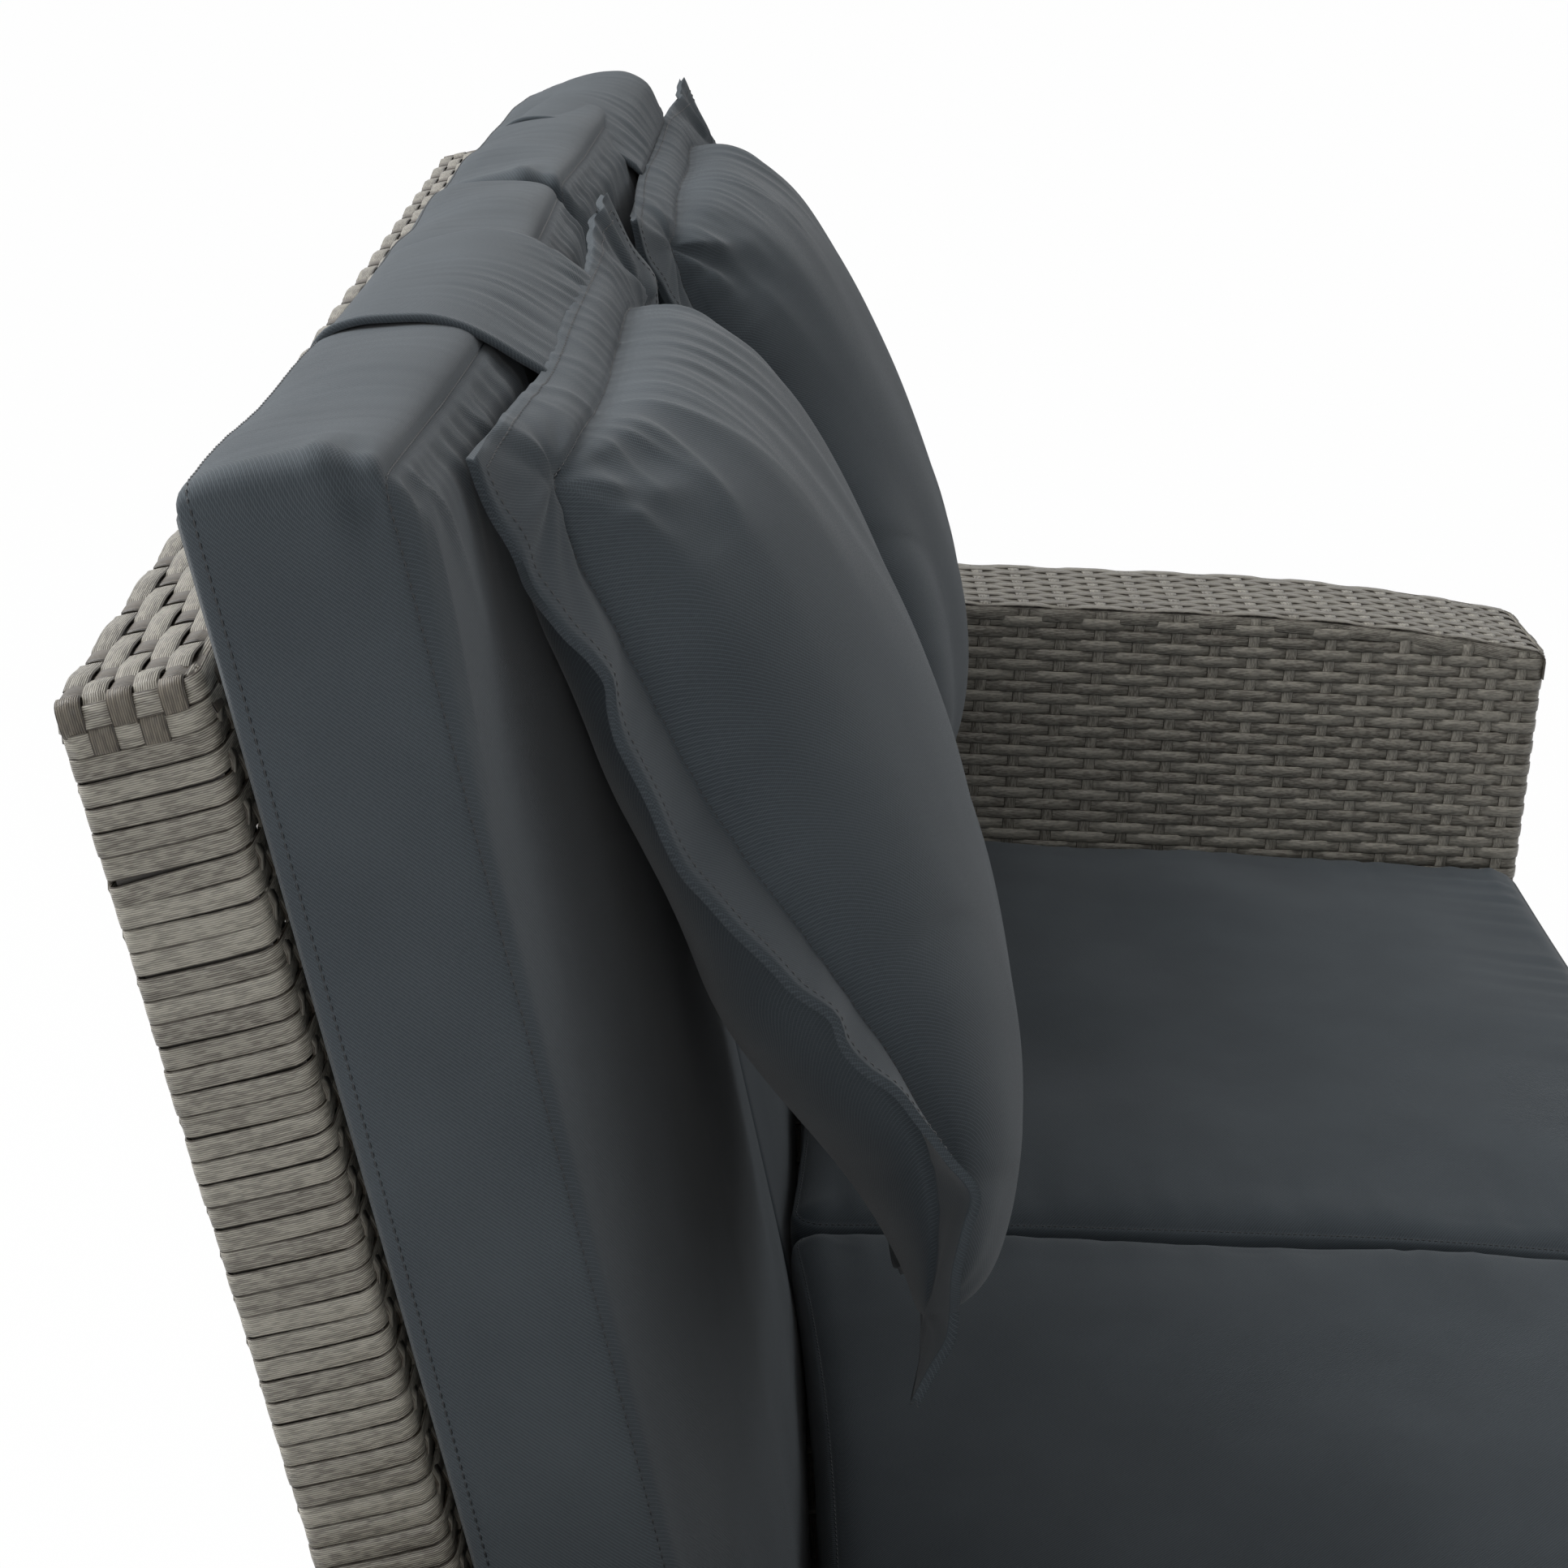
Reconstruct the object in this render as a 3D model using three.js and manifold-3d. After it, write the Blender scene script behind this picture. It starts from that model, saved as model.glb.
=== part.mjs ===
// Two-seat woven garden sofa with loose cushions, and two pillows that hang over its back.
// Millimetres, +Z up. X runs along the sofa, its front faces -Y, and the origin lies on the
// floor under the middle of its outer box. "Near" is the end at -X and "far" the end at +X.
import * as THREE from 'three';
import { mergeVertices } from 'three/addons/utils/BufferGeometryUtils.js';
import Module from 'manifold-3d';

const wasm = await Module();
wasm.setup();

// Overall sizes
const innerWidth = 1210;
const panelBottom = 100;
const panelGap = 3.5;
const leanDegrees = 14.3;
const fit = 0.3;
const weave = 2.6;
const edgeRound = 6;
const cornerRound = 9;
const frameTube = 20;
const cutOverrun = 30;

// Arms: woven boxes with a top that falls away towards the front
const armThick = 112;
const armHeight = 609;
const armLength = 724;
const armNoseRun = 240;
const armNoseDrop = 25;
const armBottom = 36;
const armNoseSteps = 8;

// Back panel, measured down its slope from the top rear edge
const backOverhang = 74;
const backThick = 47;
const backTop = 909;
const backUprightShares = [-0.5, 0, 0.5];

// Seat deck and the woven panel below its front edge
const deckTop = 338;
const apronSetback = 6;
const apronUprightShares = [-0.5, 0, 0.5];
const deckCrossShares = [-0.5, 0, 0.5];

// Feet
const legSetback = 34;
const stubRadius = 14;
const stubGap = 1;
const footRadius = 19;
const footHeight = 22;
const footTaper = 3;
const spigotRadius = 9;
const spigotLength = 18;

// Fasteners
const boltRadius = 3;
const boltHeadRadius = 6;
const boltHeadHeight = 3.6;
const boltHeadFlat = 3.6;
const boltChamfer = 0.8;
const washerRadius = 8;
const washerThick = 1.4;
const boltBite = 18;
const armBoltInset = 60;
const panelBoltShare = 0.42;

// Angle brackets that tie the back to the arms below the seat
const bracketLeg = 42;
const bracketThick = 3;
const bracketHeight = 60;
const bracketGap = 62;
const bracketArmBolt = 25;

// Seat cushions
const seatBoxing = 74;
const seatCrown = 12;
const seatDrawIn = 5;
const seatBulge = 4;

// Back cushions
const cushionRise = 50;
const cushionBoxing = 64;
const cushionCrown = 16;
const cushionDrawIn = 5;
const cushionBulge = 8;
const cushionCells = 14;

// Pillows, each with a flat flange, and the flap that hooks each over its cushion
const pillowWidth = 460;
const pillowHeight = 410;
const pillowTop = 35;
const pillowFlange = 40;
const flangeThick = 5;
const pillowFrontCrown = 72;
const pillowBackCrown = 45;
const pillowTopDepth = 152;
const pillowLowDepth = 210;
const pillowDrawIn = 12;
const pillowFullnessShare = 3;
const pillowCells = 14;
const flapWidth = 165;
const flapThick = 3;
const flapTail = 110;
const flapStepBack = 8;
const flapRipple = 3;
const flapFolds = 4;
const flapCells = 32;

// Facets
const roundSteps = 3;
const boltSides = 12;
const footSides = 24;

// Places that follow from the sizes
const halfInner = innerWidth / 2;
const halfDepth = (armLength + backOverhang) / 2;
const panelWidth = innerWidth - 2 * panelGap;
const armFront = -halfDepth;
const armRear = armFront + armLength;
const lean = THREE.MathUtils.degToRad(leanDegrees);
const leanSin = Math.sin(lean);
const leanCos = Math.cos(lean);
const backLength = (backTop - panelBottom) / leanCos;
const backRear = halfDepth + edgeRound * (leanCos + leanSin - 1);
const wallInset = weave + fit;
const deckRailTop = deckTop - weave - fit;
const apronFront = armFront + apronSetback;
const apronThick = 2 * wallInset + frameTube;
const apronRear = apronFront + apronThick;
const seatFrameHalf = halfInner - fit;
const seatFrameFront = apronRear + fit;
const boltHole = boltRadius + fit;

// The back's own frame: y is 0 on its rear face and negative to the front, z is 0 at its top
const leanMatrix = new THREE.Matrix4()
  .makeTranslation(0, backRear, backTop)
  .multiply(new THREE.Matrix4().makeRotationX(-lean));
const onBack = (x, y, z) => new THREE.Vector3(x, y, z).applyMatrix4(leanMatrix);

// Where the back's front face stands at the height of the seat frame's underside
const railUnderside = deckRailTop - frameTube;
const bracketDrop = bracketHeight / 2 + (backTop + (backThick + fit + bracketLeg) * leanSin
  - railUnderside + bracketGap) / leanCos;
const backFaceSlope = leanSin / leanCos;
const backFaceAt = (height) => backRear - backThick / leanCos - (backTop - height) * backFaceSlope;
const seatFrameRear = backFaceAt(railUnderside) - fit;

// Solids

function solidOf(geometry) {
  geometry.deleteAttribute('normal');
  geometry.deleteAttribute('uv');
  const merged = mergeVertices(geometry);
  return new wasm.Manifold(new wasm.Mesh({
    numProp: 3,
    vertProperties: new Float32Array(merged.attributes.position.array),
    triVerts: new Uint32Array(merged.index.array),
  }));
}

function geometryOf(solid) {
  const mesh = solid.getMesh();
  const geometry = new THREE.BufferGeometry();
  geometry.setAttribute('position', new THREE.BufferAttribute(mesh.vertProperties, 3));
  geometry.setIndex(new THREE.BufferAttribute(mesh.triVerts, 1));
  geometry.computeVertexNormals();
  return geometry;
}

function boxBetween(low, high) {
  const size = new THREE.Vector3().subVectors(high, low);
  const middle = new THREE.Vector3().addVectors(low, high).multiplyScalar(0.5);
  const geometry = new THREE.BoxGeometry(size.x, size.y, size.z);
  return geometry.translate(middle.x, middle.y, middle.z);
}

const point = (x, y, z) => new THREE.Vector3(x, y, z);
const blockOf = (low, high) => solidOf(boxBetween(low, high));

// A round bar from one point to another
function barBetween(from, to, radius, sides) {
  const along = new THREE.Vector3().subVectors(to, from);
  const geometry = new THREE.CylinderGeometry(radius, radius, along.length(), sides);
  const turn = new THREE.Quaternion().setFromUnitVectors(point(0, 1, 0), along.clone().normalize());
  geometry.applyQuaternion(turn);
  const middle = new THREE.Vector3().addVectors(from, to).multiplyScalar(0.5);
  return geometry.translate(middle.x, middle.y, middle.z);
}

// A lathed piece whose profile's height runs from a point along a direction
function lathedAlong(profile, sides, from, direction) {
  const geometry = new THREE.LatheGeometry(profile, sides);
  const turn = new THREE.Quaternion().setFromUnitVectors(point(0, 1, 0), direction);
  geometry.applyQuaternion(turn);
  geometry.translate(from.x, from.y, from.z);
  return geometry;
}

function roundedRectangle(left, low, right, high, radius) {
  const shape = new THREE.Shape();
  shape.moveTo(left + radius, low);
  shape.lineTo(right - radius, low);
  shape.absarc(right - radius, low + radius, radius, -Math.PI / 2, 0);
  shape.lineTo(right, high - radius);
  shape.absarc(right - radius, high - radius, radius, 0, Math.PI / 2);
  shape.lineTo(left + radius, high);
  shape.absarc(left + radius, high - radius, radius, Math.PI / 2, Math.PI);
  shape.lineTo(left, low + radius);
  shape.absarc(left + radius, low + radius, radius, Math.PI, 1.5 * Math.PI);
  return shape;
}

// An outline pushed out to a length, with its two end edges rounded and its outline kept
function pushedOut(shape, length, radius) {
  const geometry = new THREE.ExtrudeGeometry(shape, {
    depth: length - 2 * radius,
    bevelEnabled: radius > 0,
    bevelThickness: radius,
    bevelSize: radius,
    bevelOffset: -radius,
    bevelSegments: roundSteps,
    curveSegments: roundSteps,
  });
  return geometry.translate(0, 0, radius);
}

// Group and materials

const group = new THREE.Group();

const wovenStrand = { color: 0x8c857a, roughness: 0.62, metalness: 0 };
const paintedSteel = { color: 0x34322f, roughness: 0.45, metalness: 0.6 };
const zincSteel = { color: 0xa6a8aa, roughness: 0.35, metalness: 0.9 };
const footPlastic = { color: 0x1d1d1e, roughness: 0.6, metalness: 0 };
const slateCloth = { color: 0x42484c, roughness: 0.9, metalness: 0 };

function addPiece(name, geometry, look) {
  const mesh = new THREE.Mesh(geometry, new THREE.MeshStandardMaterial(look));
  mesh.name = name;
  group.add(mesh);
}

// Arm, built for the far end; the near one is its mirror image

const toSide = new THREE.Matrix4().makeBasis(point(0, 1, 0), point(0, 0, 1), point(1, 0, 0));

function armOutline(inset, bottom) {
  const noseStart = armFront + armNoseRun;
  const top = armHeight - inset;
  const outline = [new THREE.Vector2(armRear - inset, bottom), new THREE.Vector2(armRear - inset, top)];
  for (let step = 0; step <= armNoseSteps; step += 1) {
    const y = THREE.MathUtils.lerp(noseStart, armFront + inset, step / armNoseSteps);
    const along = (noseStart - y) / armNoseRun;
    outline.push(new THREE.Vector2(y, top - armNoseDrop * along * along));
  }
  outline.push(new THREE.Vector2(armFront + inset, bottom));
  return outline;
}

function armSlab(outline, from, to, radius) {
  const geometry = pushedOut(new THREE.Shape(outline), to - from, radius);
  geometry.translate(0, 0, from);
  return geometry.applyMatrix4(toSide);
}

const armInner = halfInner;
const armOuter = halfInner + armThick;
const legPlaces = [armFront + legSetback, armRear - legSetback];
const legMiddle = (armInner + armOuter) / 2;
const railHeight = deckRailTop - frameTube / 2;

// Bolts that tie the arm to the seat frame and to the angle bracket
const armBoltPlaces = [seatFrameFront + armBoltInset, seatFrameRear - armBoltInset];
const bracketBoltPoint = onBack(0, -backThick - fit - bracketArmBolt, -bracketDrop);

function armBoltHoles() {
  const places = armBoltPlaces.map((y) => [y, railHeight]);
  places.push([bracketBoltPoint.y, bracketBoltPoint.z]);
  return places.map(([y, z]) => solidOf(barBetween(
    point(armInner - cutOverrun, y, z),
    point(armInner + wallInset + frameTube + fit, y, z),
    boltHole,
    boltSides,
  )));
}

function armWeave() {
  const outer = solidOf(armSlab(armOutline(0, armBottom - cutOverrun), armInner, armOuter, edgeRound));
  const hollow = solidOf(armSlab(
    armOutline(weave, armBottom - 2 * cutOverrun), armInner + weave, armOuter - weave, 0,
  ));
  const below = blockOf(
    point(armInner - cutOverrun, armFront - cutOverrun, armBottom - 2 * cutOverrun),
    point(armOuter + cutOverrun, armRear + cutOverrun, armBottom),
  );
  let solid = outer.subtract(hollow).subtract(below);
  armBoltHoles().forEach((hole) => { solid = solid.subtract(hole); });
  return solid;
}

function armLoop(from) {
  const bottom = armBottom + fit;
  const outline = new THREE.Shape(armOutline(wallInset, bottom));
  outline.holes.push(new THREE.Path(armOutline(wallInset + frameTube, bottom + frameTube)));
  const geometry = pushedOut(outline, frameTube, 0);
  geometry.translate(0, 0, from);
  return solidOf(geometry.applyMatrix4(toSide));
}

function armFrame() {
  const innerFrom = armInner + wallInset;
  const outerFrom = armOuter - wallInset - frameTube;
  const bottom = armBottom + fit;
  const levelTop = armHeight - wallInset;
  const noseTop = levelTop - armNoseDrop;
  const frontIn = armFront + wallInset;
  const rearOut = armRear - wallInset;
  let solid = armLoop(innerFrom).add(armLoop(outerFrom));
  // Rungs between the two loops: two over the feet and two at the top
  const rungs = [
    [legPlaces[0] - frameTube / 2, bottom],
    [legPlaces[1] - frameTube / 2, bottom],
    [frontIn, noseTop - 2 * frameTube],
    [rearOut - frameTube, levelTop - frameTube],
  ];
  rungs.forEach(([y, z]) => {
    solid = solid.add(blockOf(
      point(innerFrom + frameTube / 2, y, z),
      point(outerFrom + frameTube / 2, y + frameTube, z + frameTube),
    ));
  });
  // The bearer that the seat frame bolts to, and the stay that the bracket bolts to
  solid = solid.add(blockOf(
    point(innerFrom, frontIn + frameTube / 2, railHeight - frameTube / 2),
    point(innerFrom + frameTube, rearOut - frameTube / 2, railHeight + frameTube / 2),
  ));
  solid = solid.add(blockOf(
    point(innerFrom, bracketBoltPoint.y - frameTube / 2, bottom + frameTube / 2),
    point(innerFrom + frameTube, bracketBoltPoint.y + frameTube / 2, railHeight),
  ));
  // Leg stubs, bored for the feet
  legPlaces.forEach((y) => {
    const at = (z) => point(legMiddle, y, z);
    const stub = barBetween(at(footHeight + stubGap), at(bottom + frameTube / 2), stubRadius, footSides);
    const bore = barBetween(at(0), at(footHeight + spigotLength + fit), spigotRadius + fit, footSides);
    solid = solid.add(solidOf(stub)).subtract(solidOf(bore));
  });
  armBoltHoles().forEach((hole) => { solid = solid.subtract(hole); });
  return solid;
}

function footProfile() {
  return [
    new THREE.Vector2(0, 0),
    new THREE.Vector2(footRadius - footTaper, 0),
    new THREE.Vector2(footRadius, footTaper),
    new THREE.Vector2(footRadius - footTaper / 2, footHeight),
    new THREE.Vector2(spigotRadius, footHeight),
    new THREE.Vector2(spigotRadius, footHeight + spigotLength),
    new THREE.Vector2(0, footHeight + spigotLength),
  ];
}

// Woven panels and the frames inside them, in the panel's own frame

function panelWeave(width, thick, length) {
  const outline = roundedRectangle(-width / 2, -thick, width / 2, 0, cornerRound);
  const geometry = pushedOut(outline, length + cutOverrun, edgeRound);
  geometry.translate(0, 0, -length - cutOverrun);
  const hollow = blockOf(
    point(weave - width / 2, weave - thick, -length - 2 * cutOverrun),
    point(width / 2 - weave, -weave, -weave),
  );
  const below = blockOf(
    point(-width / 2 - cutOverrun, -thick - cutOverrun, -length - 2 * cutOverrun),
    point(width / 2 + cutOverrun, cutOverrun, -length),
  );
  return solidOf(geometry).subtract(hollow).subtract(below);
}

function panelFrame(width, thick, length, uprightShares, railDrops) {
  const half = width / 2 - wallInset;
  const front = wallInset - thick;
  const rear = -wallInset;
  const top = -wallInset;
  const bottom = fit - length;
  const bar = (x, z, right, high) => blockOf(point(x, front, z), point(right, rear, high));
  let solid = bar(-half, top - frameTube, half, top).add(bar(-half, bottom, half, bottom + frameTube));
  const uprights = [-half, half - frameTube];
  uprightShares.forEach((share) => uprights.push(share * half - frameTube / 2));
  uprights.forEach((x) => { solid = solid.add(bar(x, bottom, x + frameTube, top)); });
  railDrops.forEach((drop) => {
    solid = solid.add(bar(-half, -drop - frameTube / 2, half, frameTube / 2 - drop));
  });
  return solid;
}

function movedSolid(solid, matrix) {
  return solidOf(geometryOf(solid).applyMatrix4(matrix));
}

const apronMatrix = new THREE.Matrix4().makeTranslation(0, apronRear, deckTop);
const apronLength = deckTop - panelBottom;

// The rail inside the back that the seat frame bolts to lies at the seat rail's height
const backMidDepth = backThick / 2;
const backRailDrop = (backTop + backMidDepth * leanSin - railHeight) / leanCos;
const apronRailDrop = deckTop - railHeight;

// Seat frame: a flat ladder that carries the woven deck

function seatFrame() {
  const low = railHeight - frameTube / 2;
  const high = railHeight + frameTube / 2;
  const bar = (x, y, right, rear) => blockOf(point(x, y, low), point(right, rear, high));
  let solid = bar(-seatFrameHalf, seatFrameFront, seatFrameHalf, seatFrameFront + frameTube);
  solid = solid.add(bar(-seatFrameHalf, seatFrameRear - frameTube, seatFrameHalf, seatFrameRear));
  const lengthwise = [-seatFrameHalf, seatFrameHalf - frameTube];
  deckCrossShares.forEach((share) => lengthwise.push(share * seatFrameHalf - frameTube / 2));
  lengthwise.forEach((x) => {
    solid = solid.add(bar(x, seatFrameFront, x + frameTube, seatFrameRear));
  });
  return solid;
}

function deckWeave() {
  return boxBetween(
    point(-seatFrameHalf, seatFrameFront, deckTop - weave),
    point(seatFrameHalf, seatFrameRear, deckTop),
  );
}

// Angle bracket for the far end, in the back's own frame

const bracketBack = -backThick - fit;
const sidePostMiddle = panelWidth / 2 - wallInset - frameTube / 2;

function bracketGeometry() {
  const right = halfInner - fit;
  const legs = new THREE.Shape([
    new THREE.Vector2(right, bracketBack),
    new THREE.Vector2(right - bracketLeg, bracketBack),
    new THREE.Vector2(right - bracketLeg, bracketBack - bracketThick),
    new THREE.Vector2(right - bracketThick, bracketBack - bracketThick),
    new THREE.Vector2(right - bracketThick, bracketBack - bracketLeg),
    new THREE.Vector2(right, bracketBack - bracketLeg),
  ]);
  const geometry = pushedOut(legs, bracketHeight, 0);
  geometry.translate(0, 0, -bracketDrop - bracketHeight / 2);
  return geometry.applyMatrix4(leanMatrix);
}

// Fasteners: each starts on the face that its washer bears on and points the way it is driven

const leanForward = point(0, leanCos, -leanSin);

function fastenersOf(side) {
  const end = side < 0 ? 'near' : 'far';
  const list = armBoltPlaces.map((y, index) => ({
    name: `arm_bolt_${end}_${index + 1}`,
    at: point(side * (seatFrameHalf - frameTube), y, railHeight),
    along: point(side, 0, 0),
    stack: frameTube + fit + wallInset,
  }));
  list.push({
    name: `back_bolt_${end}`,
    at: point(side * panelBoltShare * halfInner, seatFrameRear - frameTube, railHeight),
    along: point(0, 1, 0),
    stack: frameTube + wallInset + backMidDepth / 2,
  });
  list.push({
    name: `apron_bolt_${end}`,
    at: point(side * panelBoltShare * halfInner, seatFrameFront + frameTube, railHeight),
    along: point(0, -1, 0),
    stack: frameTube + fit + wallInset,
  });
  const legFace = halfInner - fit - bracketThick;
  list.push({
    name: `bracket_arm_bolt_${end}`,
    at: point(side * legFace, bracketBoltPoint.y, bracketBoltPoint.z),
    along: point(side, 0, 0),
    stack: bracketThick + fit + wallInset,
  });
  list.push({
    name: `bracket_back_bolt_${end}`,
    at: onBack(side * sidePostMiddle, bracketBack - bracketThick, -bracketDrop),
    along: leanForward,
    stack: bracketThick + fit + wallInset,
  });
  return list;
}

const fasteners = [...fastenersOf(-1), ...fastenersOf(1)];

function boltProfile(length) {
  const flat = washerThick + 2 * fit;
  return [
    new THREE.Vector2(0, -flat - boltHeadHeight),
    new THREE.Vector2(boltHeadFlat, -flat - boltHeadHeight),
    new THREE.Vector2(boltHeadRadius, -flat - boltHeadHeight / 2),
    new THREE.Vector2(boltHeadRadius, -flat),
    new THREE.Vector2(boltRadius, -flat),
    new THREE.Vector2(boltRadius, length - boltChamfer),
    new THREE.Vector2(boltRadius - boltChamfer, length),
    new THREE.Vector2(0, length),
  ];
}

function washerProfile() {
  const low = -fit - washerThick;
  return [
    new THREE.Vector2(boltHole, low),
    new THREE.Vector2(washerRadius, low),
    new THREE.Vector2(washerRadius, -fit),
    new THREE.Vector2(boltHole, -fit),
    new THREE.Vector2(boltHole, low),
  ];
}

function drilled(solid) {
  let result = solid;
  fasteners.forEach(({ at, along, stack }) => {
    const from = at.clone().addScaledVector(along, -fit);
    const to = at.clone().addScaledVector(along, stack + boltBite + fit);
    result = result.subtract(solidOf(barBetween(from, to, boltHole, boltSides)));
  });
  return result;
}

// Cushions and pillows

// Places across a soft piece, from -1 to 1, closer together towards its edges
function spreadShares(cells) {
  const shares = [];
  for (let index = 0; index <= cells; index += 1) {
    shares.push(Math.sin((index / cells - 0.5) * Math.PI));
  }
  return shares;
}

// A closed skin from two grids of points that share an outline, with rings of points between
function skinOf(columns, rows, frontAt, backAt, rings) {
  const positions = [];
  const faces = [];
  const add = (place) => positions.push(place.x, place.y, place.z) / 3 - 1;
  const gridOf = (placeAt) => rows.map((v, row) => columns.map((u, column) => add(placeAt(u, v, column, row))));
  const front = gridOf(frontAt);
  const back = gridOf(backAt);
  const quad = (a, b, c, d) => faces.push(a, b, c, a, c, d);
  for (let row = 0; row + 1 < rows.length; row += 1) {
    for (let column = 0; column + 1 < columns.length; column += 1) {
      const next = column + 1;
      quad(front[row][column], front[row][next], front[row + 1][next], front[row + 1][column]);
      quad(back[row][column], back[row + 1][column], back[row + 1][next], back[row][next]);
    }
  }
  const lastColumn = columns.length - 1;
  const lastRow = rows.length - 1;
  const outline = [];
  for (let column = 0; column < lastColumn; column += 1) outline.push([0, column]);
  for (let row = 0; row < lastRow; row += 1) outline.push([row, lastColumn]);
  for (let column = lastColumn; column > 0; column -= 1) outline.push([lastRow, column]);
  for (let row = lastRow; row > 0; row -= 1) outline.push([row, 0]);
  const loops = [outline.map(([row, column]) => front[row][column])];
  rings.forEach((ringAt) => {
    loops.push(outline.map(([row, column]) => add(ringAt(columns[column], rows[row]))));
  });
  loops.push(outline.map(([row, column]) => back[row][column]));
  for (let loop = 0; loop + 1 < loops.length; loop += 1) {
    outline.forEach((unused, index) => {
      const next = (index + 1) % outline.length;
      const [here, below] = [loops[loop], loops[loop + 1]];
      quad(here[index], below[index], below[next], here[next]);
    });
  }
  const geometry = new THREE.BufferGeometry();
  geometry.setAttribute('position', new THREE.Float32BufferAttribute(positions, 3));
  geometry.setIndex(faces);
  geometry.computeVertexNormals();
  return geometry;
}

const edgeFall = (share) => 1 - share * share;

// A boxed cushion: x across, y up its length, z out of its crowned front
function boxedCushion(size) {
  const halfWidth = size.width / 2 - size.bulge;
  const halfHeight = size.height / 2 - size.bulge;
  const halfBoxing = size.boxing / 2;
  const across = (u, v) => u * (halfWidth - size.drawIn * edgeFall(v));
  const upward = (u, v) => v * (halfHeight - size.drawIn * edgeFall(u));
  const swell = (u, v) => Math.sqrt(Math.max(0, edgeFall(u) * edgeFall(v)));
  const frontAt = (u, v) => point(across(u, v), upward(u, v), halfBoxing + size.crown * swell(u, v));
  const backAt = (u, v) => point(across(u, v), upward(u, v), -halfBoxing);
  const outwards = (share) => (Math.abs(share) > 1 - Number.EPSILON ? Math.sign(share) : 0);
  const ringAt = (u, v) => point(
    across(u, v) + size.bulge * outwards(u), upward(u, v) + size.bulge * outwards(v), 0,
  );
  const shares = spreadShares(cushionCells);
  return skinOf(shares, shares, frontAt, backAt, [ringAt]);
}

const cushionWidth = halfInner - 1.5 * fit;
const cushionMiddle = (halfInner - fit / 2) / 2;

// Back cushion
const cushionRear = backThick + flapThick + 2 * fit;
const cushionFront = cushionRear + cushionBoxing;
const footAt = (depth, bulge) => bulge - (backTop + depth * leanSin - deckTop - fit) / leanCos;
const cushionFoot = Math.max(
  footAt(cushionRear, 0),
  footAt(cushionRear + cushionBoxing / 2, cushionBulge),
);
const cushionHeight = cushionRise - cushionFoot + 2 * cushionBulge;

function backCushion(side) {
  const geometry = boxedCushion({
    width: cushionWidth,
    height: cushionHeight,
    boxing: cushionBoxing,
    crown: cushionCrown,
    drawIn: cushionDrawIn,
    bulge: cushionBulge,
  });
  geometry.rotateX(Math.PI / 2);
  geometry.translate(
    side * cushionMiddle, -(cushionRear + cushionFront) / 2, (cushionRise + cushionFoot) / 2,
  );
  return geometry.applyMatrix4(leanMatrix);
}

// Seat cushion: from just behind the arms' front to the most forward line of the back cushion
const seatFront = armFront + fit;
const backCushionLine = spreadShares(cushionCells).map((share) => onBack(
  0,
  -cushionFront - cushionCrown * Math.sqrt(Math.max(0, edgeFall(share))),
  THREE.MathUtils.lerp(cushionFoot, cushionRise, (share + 1) / 2),
).y);
const seatRear = Math.min(...backCushionLine) - fit;

function seatCushion(side) {
  const geometry = boxedCushion({
    width: cushionWidth,
    height: seatRear - seatFront,
    boxing: seatBoxing,
    crown: seatCrown,
    drawIn: seatDrawIn,
    bulge: seatBulge,
  });
  return geometry.translate(
    side * cushionMiddle, (seatFront + seatRear) / 2, deckTop + fit + seatBoxing / 2,
  );
}

// Pillow: a flanged lens whose middle plane leans out from the cushion towards its foot
const pillowDepthAt = (share) => THREE.MathUtils.lerp(
  pillowTopDepth, pillowLowDepth, Math.sin((1 - share) * Math.PI / 4),
);

function pillow(side) {
  const halfWidth = pillowWidth / 2;
  const halfHeight = pillowHeight / 2;
  const bodyShareAcross = 1 - pillowFlange / halfWidth;
  const bodyShareUp = 1 - pillowFlange / halfHeight;
  const body = spreadShares(pillowCells);
  const columns = [-1, ...body.map((share) => share * bodyShareAcross), 1];
  const rows = [-1, ...body.map((share) => share * bodyShareUp), 1];
  const fullness = (share) => Math.max(0, 1 - Math.abs(share) ** pillowFullnessShare);
  const swell = (u, v) => Math.sqrt(fullness(Math.min(1, Math.abs(u / bodyShareAcross)))
    * fullness(Math.min(1, Math.abs(v / bodyShareUp))));
  const placeAt = (u, v, proud) => point(
    side * cushionMiddle + u * (halfWidth - pillowDrawIn * edgeFall(v)),
    -pillowDepthAt(v) - proud,
    pillowTop - halfHeight + v * (halfHeight - pillowDrawIn * edgeFall(u) * (v < 0 ? 1 : 0)),
  );
  const half = flangeThick / 2;
  const frontAt = (u, v) => placeAt(u, v, half + pillowFrontCrown * swell(u, v));
  const backAt = (u, v) => placeAt(u, v, -half - pillowBackCrown * swell(u, v));
  return skinOf(columns, rows, frontAt, backAt, []).applyMatrix4(leanMatrix);
}

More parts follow.
